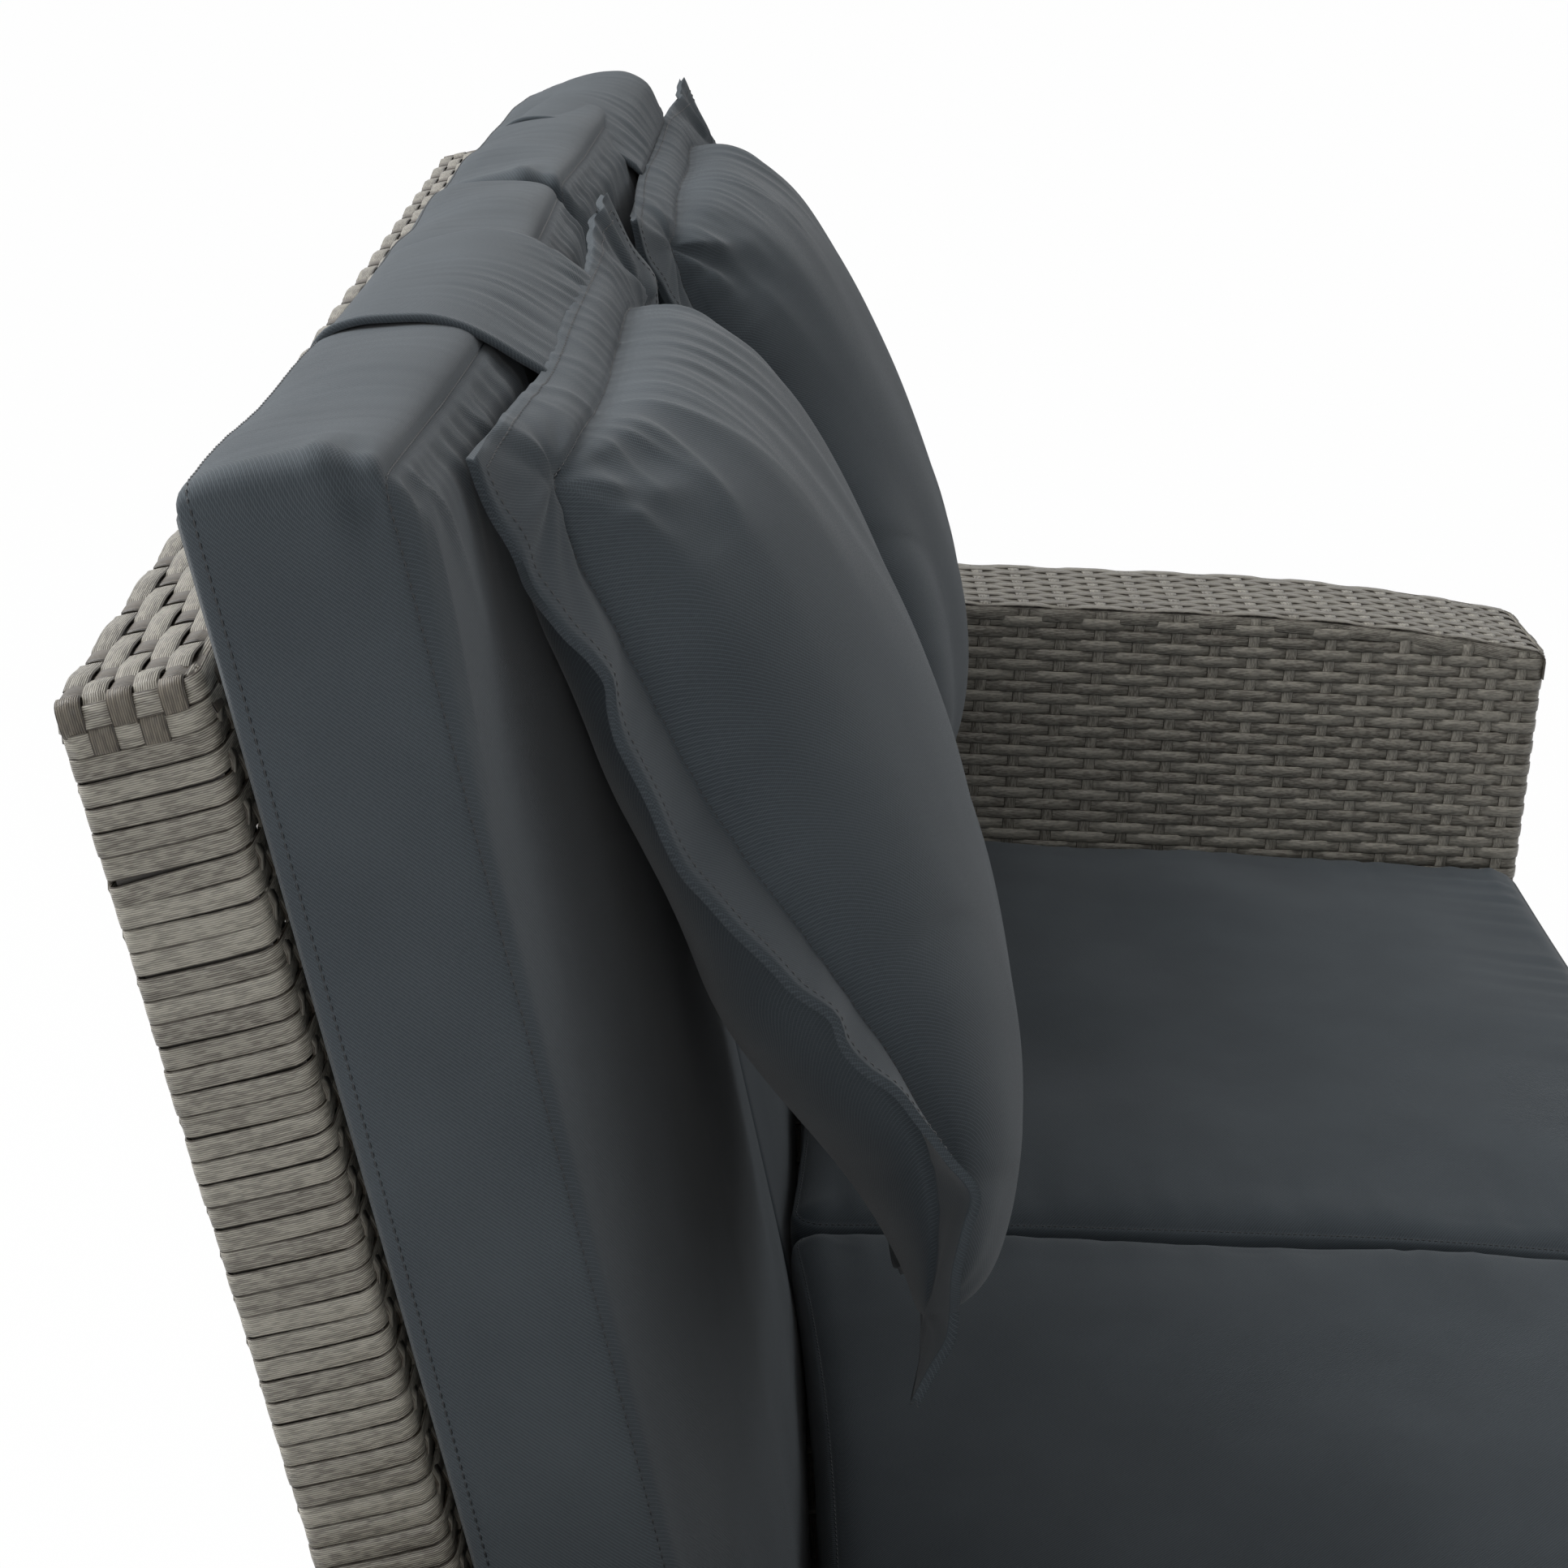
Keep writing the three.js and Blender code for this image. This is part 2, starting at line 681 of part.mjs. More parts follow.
// Flap: a doubled cloth from the pillow's top flange over the cushion and down behind it,
// as the depth and rise of its underside, and the share of the wrinkles' height there
function flapPath() {
  const crest = cushionRise + cushionBulge + fit;
  const middle = (cushionRear + cushionFront) / 2;
  const behind = cushionRear - fit;
  const corner = cushionRise + flapStepBack / 2;
  return [
    { depth: pillowTopDepth, rise: pillowTop + fit, rippleShare: 0.3 },
    { depth: (pillowTopDepth + cushionFront) / 2, rise: (pillowTop + corner) / 2, rippleShare: 1 },
    { depth: cushionFront + flapStepBack / 2, rise: corner, rippleShare: 1 },
    { depth: middle + flapStepBack, rise: crest, rippleShare: 0.6 },
    { depth: middle - flapStepBack, rise: crest, rippleShare: 0.6 },
    { depth: cushionRear, rise: corner, rippleShare: 0.3 },
    { depth: behind, rise: cushionRise - flapStepBack, rippleShare: 0 },
    { depth: behind, rise: -flapTail, rippleShare: 0 },
  ];
}

function flap(side) {
  const path = flapPath();
  const columns = Array.from({ length: flapCells + 1 }, (unused, index) => (2 * index) / flapCells - 1);
  const rows = path.map((unused, index) => (2 * index) / (path.length - 1) - 1);
  // Outward from the cushion: the mean of the square directions of the two stretches that meet
  const outward = path.map((place, index) => {
    const before = path[Math.max(0, index - 1)];
    const after = path[Math.min(path.length - 1, index + 1)];
    return new THREE.Vector2(after.rise - before.rise, before.depth - after.depth).normalize();
  });
  const placeAt = (u, row, proud) => point(
    side * cushionMiddle + u * (flapWidth / 2),
    -path[row].depth - proud * outward[row].x,
    path[row].rise + proud * outward[row].y,
  );
  const wave = (u) => (1 - Math.cos(flapFolds * Math.PI * (u + 1))) / 2;
  const rippleAt = (u, row) => flapRipple * path[row].rippleShare * wave(u);
  const frontAt = (u, v, column, row) => placeAt(u, row, flapThick + rippleAt(u, row));
  const backAt = (u, v, column, row) => placeAt(u, row, rippleAt(u, row));
  return skinOf(columns, rows, frontAt, backAt, []).applyMatrix4(leanMatrix);
}

// Assembly

addPiece('seat_frame', geometryOf(drilled(seatFrame())), paintedSteel);
addPiece('deck_weave', deckWeave(), wovenStrand);
const apronWeave = movedSolid(panelWeave(panelWidth, apronThick, apronLength), apronMatrix);
addPiece('apron_weave', geometryOf(drilled(apronWeave)), wovenStrand);
const apronFrame = panelFrame(panelWidth, apronThick, apronLength, apronUprightShares, [apronRailDrop]);
addPiece('apron_frame', geometryOf(drilled(movedSolid(apronFrame, apronMatrix))), paintedSteel);
const backWeave = movedSolid(panelWeave(panelWidth, backThick, backLength), leanMatrix);
addPiece('back_weave', geometryOf(drilled(backWeave)), wovenStrand);
const backFrame = panelFrame(panelWidth, backThick, backLength, backUprightShares, [backRailDrop]);
addPiece('back_frame', geometryOf(drilled(movedSolid(backFrame, leanMatrix))), paintedSteel);

const ends = [{ side: -1, name: 'near' }, { side: 1, name: 'far' }];
const acrossMiddle = (side) => new THREE.Matrix4().makeScale(side, 1, 1);

function mirrored(solid, side) {
  if (side > 0) return solid;
  const geometry = geometryOf(solid).applyMatrix4(acrossMiddle(side));
  const index = geometry.index.array;
  for (let corner = 0; corner < index.length; corner += 3) {
    [index[corner], index[corner + 1]] = [index[corner + 1], index[corner]];
  }
  return solidOf(geometry);
}

ends.forEach(({ side, name }) => {
  addPiece(`arm_weave_${name}`, geometryOf(mirrored(armWeave(), side)), wovenStrand);
  addPiece(`arm_frame_${name}`, geometryOf(mirrored(armFrame(), side)), paintedSteel);
  legPlaces.forEach((y, index) => {
    const foot = lathedAlong(footProfile(), footSides, point(side * legMiddle, y, 0), point(0, 0, 1));
    addPiece(`foot_${name}_${index === 0 ? 'front' : 'rear'}`, geometryOf(solidOf(foot)), footPlastic);
  });
  const bracket = mirrored(drilled(solidOf(bracketGeometry())), side);
  addPiece(`bracket_${name}`, geometryOf(bracket), zincSteel);
});

fasteners.forEach(({ name, at, along, stack }) => {
  const bolt = lathedAlong(boltProfile(stack + boltBite), boltSides, at, along);
  addPiece(name, geometryOf(solidOf(bolt)), zincSteel);
  const washer = lathedAlong(washerProfile(), boltSides, at, along);
  addPiece(name.replace('bolt', 'washer'), geometryOf(solidOf(washer)), zincSteel);
});

ends.forEach(({ side, name }) => {
  addPiece(`seat_cushion_${name}`, seatCushion(side), slateCloth);
  addPiece(`back_cushion_${name}`, backCushion(side), slateCloth);
  addPiece(`pillow_${name}`, pillow(side), slateCloth);
  addPiece(`pillow_flap_${name}`, flap(side), slateCloth);
});

export default group;
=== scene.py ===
"""Woven garden sofa with slate cushions and pillows hooked over its back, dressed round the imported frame."""
import math

import bmesh
import bpy
import numpy as np
from mathutils import Matrix, Vector


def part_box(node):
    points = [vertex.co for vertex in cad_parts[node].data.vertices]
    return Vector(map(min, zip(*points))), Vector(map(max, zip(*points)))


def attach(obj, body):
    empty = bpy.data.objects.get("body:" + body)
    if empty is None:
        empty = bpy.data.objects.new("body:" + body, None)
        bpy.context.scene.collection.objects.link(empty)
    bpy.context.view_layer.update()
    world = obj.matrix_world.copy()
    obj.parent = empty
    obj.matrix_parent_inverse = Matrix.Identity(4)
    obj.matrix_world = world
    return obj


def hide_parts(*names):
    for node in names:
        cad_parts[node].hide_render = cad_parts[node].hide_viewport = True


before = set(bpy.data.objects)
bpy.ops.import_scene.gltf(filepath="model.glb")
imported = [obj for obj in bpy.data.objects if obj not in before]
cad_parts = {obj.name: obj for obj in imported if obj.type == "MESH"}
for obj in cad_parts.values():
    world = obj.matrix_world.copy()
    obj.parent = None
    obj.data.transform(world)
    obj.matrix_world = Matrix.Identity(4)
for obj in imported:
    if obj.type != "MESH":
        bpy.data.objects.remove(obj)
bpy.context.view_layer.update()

MM = 0.001
SIDES = {"near": -1, "far": 1}

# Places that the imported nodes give
_, BACK_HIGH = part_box("back_weave")
ARM_LOW, ARM_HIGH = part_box("arm_weave_far")
APRON_LOW, APRON_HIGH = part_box("apron_weave")
DECK_LOW, DECK_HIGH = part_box("deck_weave")

# The back's lean, and the frame that its pieces are laid out in: depth runs from its rear
# face to the front and rise runs up its slope from its top
LEAN = math.radians(14.3)
LEAN_SIN, LEAN_COS = math.sin(LEAN), math.cos(LEAN)
BACK_REAR = 400.3 * MM
BACK_TOP = 909 * MM
BACK_THICK = 47 * MM
BACK_LENGTH = (BACK_TOP - 100 * MM) / LEAN_COS
PANEL_HALF = BACK_HIGH[0]
# How far each back cushion's middle lies from the sofa's
CUSHION_MIDDLE = 302.4 * MM


def on_back(x, depth, rise):
    """World places of points given across, in depth and in rise on the leaning back."""
    return turned_on_back(x, depth, rise) + [0, BACK_REAR, BACK_TOP]


def turned_on_back(x, depth, rise):
    """World directions of vectors given across, in depth and in rise."""
    return stacked(x, rise * LEAN_SIN - depth * LEAN_COS, depth * LEAN_SIN + rise * LEAN_COS)


def stacked(*parts):
    """Points from their coordinates, each an array or one value for all."""
    return np.stack(np.broadcast_arrays(*parts), axis=-1)


# node helpers


class Wire:
    """A node's output, on which arithmetic adds math nodes."""

    def __init__(self, socket):
        self.socket = socket
        self.tree = socket.id_data

    def calc(self, operation, *others):
        """One math node on this value and the others."""
        return add_node(self.tree, "ShaderNodeMath", dict(enumerate((self, *others))), operation=operation)

    def output(self, name):
        """Another output of the same node."""
        return Wire(self.socket.node.outputs[name])

    def __add__(self, other):
        return self.calc("ADD", other)

    def __sub__(self, other):
        return self.calc("SUBTRACT", other)

    def __rsub__(self, other):
        return (self * -1.0) + other

    def __mul__(self, other):
        return self.calc("MULTIPLY", other)

    def __truediv__(self, other):
        return self.calc("DIVIDE", other)

    def __pow__(self, other):
        return self.calc("POWER", other)

    def __abs__(self):
        return self.calc("ABSOLUTE")


def add_node(tree, kind, inputs=None, output=0, **settings):
    """Adds a node, sets its properties, fills or links its inputs, and returns one of its outputs."""
    made = tree.nodes.new(kind)
    for name, value in settings.items():
        setattr(made, name, value)
    for key, value in (inputs or {}).items():
        if isinstance(value, Wire):
            tree.links.new(value.socket, made.inputs[key])
        else:
            made.inputs[key].default_value = value
    return Wire(made.outputs[output])


def mixed(share, first, second):
    """A colour mix."""
    return add_node(share.tree, "ShaderNodeMix", {0: share, 6: first, 7: second}, 2, data_type="RGBA")


def eased(value, low, high):
    """A value eased from 0 at low to 1 at high."""
    inputs = {"Value": value, "From Min": low, "From Max": high}
    return add_node(value.tree, "ShaderNodeMapRange", inputs, interpolation_type="SMOOTHSTEP")


def combined(first, second, third):
    """A vector from three values, of which the first is a wire."""
    return add_node(first.tree, "ShaderNodeCombineXYZ", {0: first, 1: second, 2: third})


def noise(place, scale, detail, **inputs):
    """A noise texture's value at a place."""
    inputs = {"Vector": place, "Scale": scale, "Detail": detail, **inputs}
    dimensions = "4D" if "W" in inputs else "3D"
    return add_node(place.tree, "ShaderNodeTexNoise", inputs, noise_dimensions=dimensions)


def new_group(name, kind, inputs, outputs):
    """A node group with named sockets, with its input wires by name and its output node."""
    tree = bpy.data.node_groups.new(name, kind)
    for label, (socket, *default) in inputs.items():
        made = tree.interface.new_socket(label, in_out="INPUT", socket_type=f"NodeSocket{socket}")
        if default:
            made.default_value = default[0]
    for label, socket in outputs.items():
        tree.interface.new_socket(label, in_out="OUTPUT", socket_type=f"NodeSocket{socket}")
    source, result = tree.nodes.new("NodeGroupInput"), tree.nodes.new("NodeGroupOutput")
    return tree, {socket.name: Wire(socket) for socket in source.outputs if socket.name}, result


def link(node, **values):
    """Links wires to a node's inputs by name."""
    for name, value in values.items():
        value.tree.links.new(value.socket, node.inputs[name])


def srgb(red, green, blue):
    """A linear colour from display values out of 255."""
    shares = [value / 255 for value in (red, green, blue)]
    return (*[share / 12.92 if share <= 0.04045 else ((share + 0.055) / 1.055) ** 2.4 for share in shares], 1)


# shader groups


def strand_grain_group():
    """Grooved resin strand: streaks along it, fine grooves, a tone of its own, and painted shade along its
    rims.
    """
    tree, source, result = new_group("Strand Grain", "ShaderNodeTree", {
        "Light": ("Color", (0.4, 0.38, 0.32, 1)), "Dark": ("Color", (0.1, 0.09, 0.07, 1)),
        "Grooves": ("Float", 11.0), "Tone Spread": ("Float", 0.35),
    }, {"Color": "Color", "Height": "Float", "Roughness": "Float"})
    along, across, seed = (
        add_node(tree, "ShaderNodeAttribute", output="Fac", attribute_name=f"strand_{name}")
        for name in ("along", "across", "seed"))
    shift = seed * 37.0
    turns = across * (source["Grooves"] * 0.5)
    ridge = eased(abs(turns.calc("FRACT") - 0.5), 0.42, 0.16)
    # Each groove has dashes of its own, so they lie along the strand
    dashes = noise(combined(along * 170.0, turns.calc("FLOOR") * 5.3, shift), 1.0, 1.0)
    patches = noise(combined(along * 45.0, across * 1.4, shift), 1.0, 2.0)
    share = eased(dashes, 0.36, 0.6) * 0.34 + 0.14 + ridge * 0.42 + (patches - 0.42) * 0.3
    # Painted shade: a strand's rims are darker than its face, as shade falls where they turn down between
    # strands
    share = share + (seed - 0.5) * source["Tone Spread"] - eased(abs(across), 0.84, 0.99) * 0.6
    share = add_node(tree, "ShaderNodeClamp", {"Value": share})
    dome = 1.0 - abs(across) ** 4.0
    link(result, Color=mixed(share, source["Dark"], source["Light"]),
                 Height=ridge * 0.6 + dashes * 0.3 + dome * 0.8, Roughness=dashes * 0.2 + 0.32)
    return tree


def twill_group():
    """Canvas twill on the cloth's own flat measure: threads, diagonal ribs and slow shade changes."""
    tree, source, result = new_group("Canvas Twill", "ShaderNodeTree", {
        "Thread Light": ("Color", (0.08, 0.09, 0.1, 1)), "Thread Dark": ("Color", (0.03, 0.035, 0.04, 1)),
        "Thread Pitch": ("Float", 0.0008), "Lint": ("Float", 0.3),
    }, {"Color": "Color", "Height": "Float"})
    cloth = add_node(tree, "ShaderNodeUVMap", uv_map="cloth")
    across = add_node(tree, "ShaderNodeSeparateXYZ", {0: cloth})
    down = across.output("Y")
    turn = (source["Thread Pitch"] ** -1.0) * (2 * math.pi)
    threads = (across * turn).calc("SINE") * (down * turn).calc("SINE") * 0.25 + 0.5
    ribs = ((across + down) * turn * 0.5).calc("SINE")
    height = threads + ribs * 0.15
    share = height + (noise(cloth, 14.0, 3.0) - 0.5) * 0.5 + (noise(cloth, 900.0, 2.0) - 0.5) * source["Lint"]
    color = mixed(eased(share, 0.05, 0.95), source["Thread Dark"], source["Thread Light"])
    link(result, Color=color, Height=height)
    return tree


def surface_wear_group():
    """Fine speckle and slow mottling on Object coordinates, for the hard hidden parts."""
    tree, source, result = new_group("Surface Wear", "ShaderNodeTree", {
        "Base": ("Color", (0.1, 0.1, 0.1, 1)), "Worn": ("Color", (0.3, 0.3, 0.3, 1)),
        "Speckle Scale": ("Float", 900.0), "Wear": ("Float", 0.3),
    }, {"Color": "Color", "Height": "Float", "Roughness": "Float"})
    place = add_node(tree, "ShaderNodeTexCoord", output="Object")
    speckle = noise(place, source["Speckle Scale"], 2.0)
    patch = noise(place, 22.0, 5.0)
    share = eased(patch, 0.45, 0.75) * source["Wear"] + speckle * 0.15
    link(result, Color=mixed(share, source["Base"], source["Worn"]), Height=speckle,
                 Roughness=patch * 0.35 + 0.25)
    return tree


GRAIN = strand_grain_group()
TWILL = twill_group()
WEAR = surface_wear_group()


# materials


def material_from(name, group, values, bump_distance, **sockets):
    """A Principled material whose colour, bump and roughness come from a group."""
    material = bpy.data.materials.new(name)
    material.use_nodes = True
    tree = material.node_tree
    shader = tree.nodes["Principled BSDF"]
    source = tree.nodes.new("ShaderNodeGroup")
    source.node_tree = group
    for key, value in values.items():
        source.inputs[key].default_value = value
    tree.links.new(source.outputs["Color"], shader.inputs["Base Color"])
    if "Roughness" in source.outputs:
        tree.links.new(source.outputs["Roughness"], shader.inputs["Roughness"])
    height = Wire(source.outputs["Height"])
    link(shader, Normal=add_node(tree, "ShaderNodeBump", {"Height": height, "Distance": bump_distance}))
    for key, value in sockets.items():
        shader.inputs[key.replace("_", " ")].default_value = value
    return material


def strand_material(name, light, dark, spread):
    """Woven resin strand in one shade range."""
    return material_from(name, GRAIN, {
        "Light": srgb(*light), "Dark": srgb(*dark), "Tone Spread": spread}, 0.35 * MM)


RATTAN = strand_material("grey_rattan", (207, 202, 189), (66, 58, 49), 0.32)
# Painted shade: a darker copy of the grey rattan, for the strands along the back's top and along the arms'
# tops
RATTAN_TOP_SHADE = strand_material("shaded_top_rattan", (178, 173, 161), (60, 53, 45), 0.2)
# Painted shade: a darker copy of the grey rattan, for the end pieces turned down at the back's top and for the
# deck under the seat cushions
RATTAN_SHADE = strand_material("shaded_end_and_deck_rattan", (142, 134, 121), (52, 46, 40), 0.16)
# Painted shade: the darkest copy of the grey rattan, for the ties sunk between the strands on the back's top
RATTAN_TIE_SHADE = strand_material("shaded_tie_rattan", (104, 96, 85), (38, 33, 28), 0.14)
SLATE = material_from("slate_canvas", TWILL, {
    "Thread Light": srgb(88, 96, 102), "Thread Dark": srgb(51, 58, 64),
}, 0.16 * MM, Roughness=0.85, Sheen_Weight=0.14, Sheen_Roughness=0.4)
# Partly painted shade: the stitch thread is made dark, so each row also stands for the shadowed groove along
# its seam
STITCH = material_from("stitch_thread_seam_shade", WEAR, {
    "Base": srgb(27, 31, 35), "Worn": srgb(50, 56, 61), "Speckle Scale": 3000.0}, 0.05 * MM)
POWDER = material_from("powder_coated_tube", WEAR, {
    "Base": srgb(52, 49, 46), "Worn": srgb(84, 80, 75)}, 0.05 * MM, Metallic=0.3)
ZINC = material_from("zinc_plate", WEAR, {
    "Base": srgb(170, 173, 175), "Worn": srgb(120, 122, 124), "Wear": 0.6}, 0.03 * MM, Metallic=0.9)
GLIDE = material_from("glide_plastic", WEAR, {
    "Base": srgb(26, 26, 28), "Worn": srgb(60, 60, 62)}, 0.06 * MM)


# woven strands


def weave_tree():
    """Geometry nodes: paths are lifted over and under their crossings and swept with a flat strand."""
    tree, source, result = new_group("Woven Strands", "GeometryNodeTree", {
        "Paths": ("Geometry",), "Strand Width": ("Float", 0.008), "Strand Thickness": ("Float", 0.0012),
        "Lift": ("Float", 0.0009), "Crossing Sharpness": ("Float", 2.0), "Hump": ("Float", 0.0),
        "Over Bias": ("Float", 0.0), "Unevenness": ("Float", 0.0004), "Sides": ("Int", 8),
        "Seed": ("Float", 0.0), "Strand Material": ("Material",),
    }, {"Geometry": "Geometry"})

    def named(name, data_type="FLOAT"):
        return add_node(tree, "GeometryNodeInputNamedAttribute", {"Name": name}, data_type=data_type)

    def geometry(kind, main, made, inputs=None, **settings):
        return add_node(tree, f"GeometryNode{kind}", {main: made, **(inputs or {})}, **settings)

    def place():
        return add_node(tree, "GeometryNodeInputPosition")

    def squared(value, power):
        return value.calc("SIGN") * abs(value) ** power

    outward, sharp = named("outward", "FLOAT_VECTOR"), source["Crossing Sharpness"]
    beat = (named("phase") * math.pi).calc("COSINE")
    wave = ((beat + source["Over Bias"]) * sharp).calc("TANH") / sharp.calc("TANH")
    lift = (wave * source["Lift"] + beat.calc("MAXIMUM", 0.0) * source["Hump"]) * named("lift")
    uneven = (noise(place(), 55.0, 1.0, W=source["Seed"]) - 0.5) * source["Unevenness"]
    offset = add_node(tree, "ShaderNodeVectorMath", {0: outward, "Scale": lift + uneven}, operation="SCALE")
    moved = geometry("SetPosition", "Geometry", source["Paths"], {"Offset": offset})
    curves = geometry("MeshToCurve", "Mesh", moved)
    faced = geometry("SetCurveNormal", "Curve", curves, {"Normal": outward}, mode="FREE")
    ring = geometry("CurvePrimitiveCircle", "Resolution", source["Sides"], {"Radius": 1.0})
    round_place = add_node(tree, "ShaderNodeSeparateXYZ", {0: place()})
    flat_place = combined(squared(round_place, 0.55), squared(round_place.output("Y"), 0.3), 0.0)
    flat_ring = geometry("SetPosition", "Geometry", ring, {"Position": flat_place})
    across = add_node(tree, "ShaderNodeSeparateXYZ", {0: place()}, "Y")
    marked = geometry(
        "StoreNamedAttribute", "Geometry", flat_ring, {"Name": "strand_across", "Value": across})
    scale = combined(source["Strand Thickness"] * 0.5, source["Strand Width"] * 0.5, 1.0)
    profile = geometry("Transform", "Geometry", marked, {"Scale": scale})
    swept = geometry("CurveToMesh", "Curve", faced, {"Profile Curve": profile, "Fill Caps": True})
    smooth = geometry("SetShadeSmooth", "Geometry", geometry("RealizeInstances", "Geometry", swept))
    dressed = geometry("SetMaterial", "Geometry", smooth, {"Material": source["Strand Material"]})
    link(result, Geometry=dressed)
    return tree


def new_piece(name, mesh):
    """An object for a mesh, put in the scene."""
    piece = bpy.data.objects.new(name, mesh)
    bpy.context.collection.objects.link(piece)
    return piece


WOVEN = weave_tree()


class Strands:
    """Collects strand paths with what the weave needs to know at each point."""

    def __init__(self, name, seed):
        self.name = name
        self.random = np.random.default_rng(seed)
        self.seed = float(seed)
        self.parts = []

    def add(self, points, outward, phase, lift, closed=False):
        """One strand along points, with its outward direction, crossing phase and lift."""
        points = np.asarray(points, float)
        along = path_length(points) + self.random.uniform(0, 3)
        count = len(points)
        self.parts.append({
            "points": points, "closed": closed, "outward": np.broadcast_to(outward, points.shape),
            "phase": np.broadcast_to(phase, count), "lift": np.broadcast_to(lift, count),
            "strand_along": along, "strand_seed": np.full(count, self.random.uniform())})

    def joined(self, key):
        """One value of all the strands, end to end."""
        return np.concatenate([part[key] for part in self.parts]).astype(float)

    def build(self, width, material, thickness=1.2 * MM, lift=0.9 * MM, sharpness=2.2, hump=0.0,
              bias=0.0, unevenness=0.5 * MM, sides=8):
        """Sweeps all the collected paths into one mesh of closed strands."""
        edges, start = [], 0
        for part in self.parts:
            index = np.arange(start, start + len(part["points"]))
            edges.append(np.stack([index[:-1], index[1:]], axis=1))
            if part["closed"]:
                edges.append(np.array([[index[-1], start]]))
            start += len(index)
        mesh = bpy.data.meshes.new(self.name)
        mesh.from_pydata(self.joined("points").tolist(), np.concatenate(edges).tolist(), [])
        outward = mesh.attributes.new("outward", "FLOAT_VECTOR", "POINT")
        outward.data.foreach_set("vector", self.joined("outward").ravel())
        for name in ("phase", "lift", "strand_along", "strand_seed"):
            mesh.attributes.new(name, "FLOAT", "POINT").data.foreach_set("value", self.joined(name))
        piece = new_piece(self.name, mesh)
        modifier = piece.modifiers.new(WOVEN.name, "NODES")
        modifier.node_group = WOVEN
        values = {
            "Strand Width": width, "Strand Thickness": thickness, "Lift": lift, "Sides": sides,
            "Crossing Sharpness": sharpness, "Hump": hump, "Over Bias": bias, "Unevenness": unevenness,
            "Seed": self.seed, "Strand Material": material}
        for item in WOVEN.interface.items_tree:
            if item.name in values:
                modifier[item.identifier] = values[item.name]
        mesh = bpy.data.meshes.new_from_object(piece.evaluated_get(bpy.context.evaluated_depsgraph_get()))
        piece.modifiers.clear()
        piece.data = mesh
        for name in ("outward", "phase", "lift"):
            if name in mesh.attributes:
                mesh.attributes.remove(mesh.attributes[name])
        return piece


def path_length(points):
    """The length along a path, up to each of its points."""
    return np.concatenate([[0], np.cumsum(np.linalg.norm(np.diff(points, axis=0), axis=1))])


def rounded_path(corners, radii, steps, spacing):
    """Points and outward directions round a closed rectangle given as (x, y) corners, anticlockwise.

    radii rounds the first side's two corners and the third side's two, and spacing gives the
    distance between points on each of the four sides."""
    at_start, at_end = (radii[0], radii[0], radii[1], radii[1]), (radii[0], radii[1], radii[1], radii[0])
    points, outward, side_index = [], [], []
    for index in range(4):
        here, after = np.array(corners[index]), np.array(corners[(index + 1) % 4])
        run = (after - here) / np.linalg.norm(after - here)
        out = np.array([run[1], -run[0]])
        start, end, radius = here + run * at_start[index], after - run * at_end[index], at_end[index]
        count = max(2, int(round(np.linalg.norm(end - start) / spacing[index])) + 1)
        for share in np.linspace(0, 1, count):
            points.append(start + (end - start) * share)
            outward.append(out)
        centre = after - run * radius - out * radius
        for angle in np.linspace(0, math.pi / 2, steps + 1)[1:-1]:
            ray = out * math.cos(angle) + run * math.sin(angle)
            points.append(centre + ray * radius)
            outward.append(ray)
        side_index += [index] * (count + steps - 1)
    return np.array(points), np.array(outward), np.array(side_index)


QUARTER = np.linspace(0, math.pi / 2, 5)


def over_top(sides, climbs, corners, over, tops, angles):
    """A path up one side, over the top and down the other: places across, heights, and the way out of each.

    sides, climbs, corners and angles hold a place, the heights, a radius and the steps round the corner for
    either side; over holds the places across the top, and tops the height before, over and after them."""
    (low, high), (up, down), (first, last), (rise, fall) = sides, climbs, corners, angles
    across = np.concatenate([0 * up + low, low + first - first * np.cos(rise), over,
                             high - last + last * np.sin(fall), 0 * down + high])
    height = np.concatenate([up, tops[0] - first + first * np.sin(rise), 0 * over + tops[1],
                             tops[2] - last + last * np.cos(fall), down])
    out = np.concatenate([0 * up - 1, -np.cos(rise), 0 * over, np.sin(fall), 0 * down + 1])
    out_up = np.concatenate([0 * up, np.sin(rise), 0 * over + 1, np.cos(fall), 0 * down])
    return across, height, out, out_up


def fade(value, low, high):
    """0 up to low, 1 from high, straight between."""
    return np.clip((value - low) / (high - low), 0, 1)


def ease(value, low, high):
    """0 up to low, 1 from high, eased between."""
    share = fade(value, low, high)
    return share * share * (3 - 2 * share)


def rim(rows, columns):
    """Row and column numbers round a grid's border, back to the start."""
    ring = [(0, column) for column in range(columns - 1)] + [(row, columns - 1) for row in range(rows - 1)]
    ring += [(rows - 1, column) for column in range(columns - 1, 0, -1)]
    ring += [(row, 0) for row in range(rows - 1, -1, -1)]
    return tuple(np.array(ring).T)


def dress(piece, body):
    """Rides a finished piece on its body."""
    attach(piece, body)


WARP_PITCH = 27.7 * MM
ROW_PITCH = 8.05 * MM
FIRST_ROW = 5.0 * MM
STRAND_WIDTH = 7.9 * MM
# Six-sided strands come out a little narrower than they are given
SIX_SIDED = 1.04
UPRIGHT_WIDTH = 8.6 * MM
TIE_WIDTH = 11.6 * MM
LANE_WIDTH = 8.2 * MM
TURNED_END_WIDTH = 8.1 * MM
SKIN_INSET = 1.5 * MM
CORNER = 7 * MM
REAR_CORNER = 3.5 * MM
BACK_END_CORNER = 5 * MM
TOP_END_CORNER = 3 * MM
# Where the strands that run along the back's top lie in its thickness
TOP_LANES = np.array([4.5, 12.4, 20.3, 28.2, 36.2]) * MM
# Uprights at the back's ends stand closer together than the rest
END_UPRIGHTS = np.array([554, 578, 591]) * MM
# This row sinks towards the back's rear, as one does in the photograph
DIPPED_ROW = 7
FIRST_ROW_LEAN = 0.2


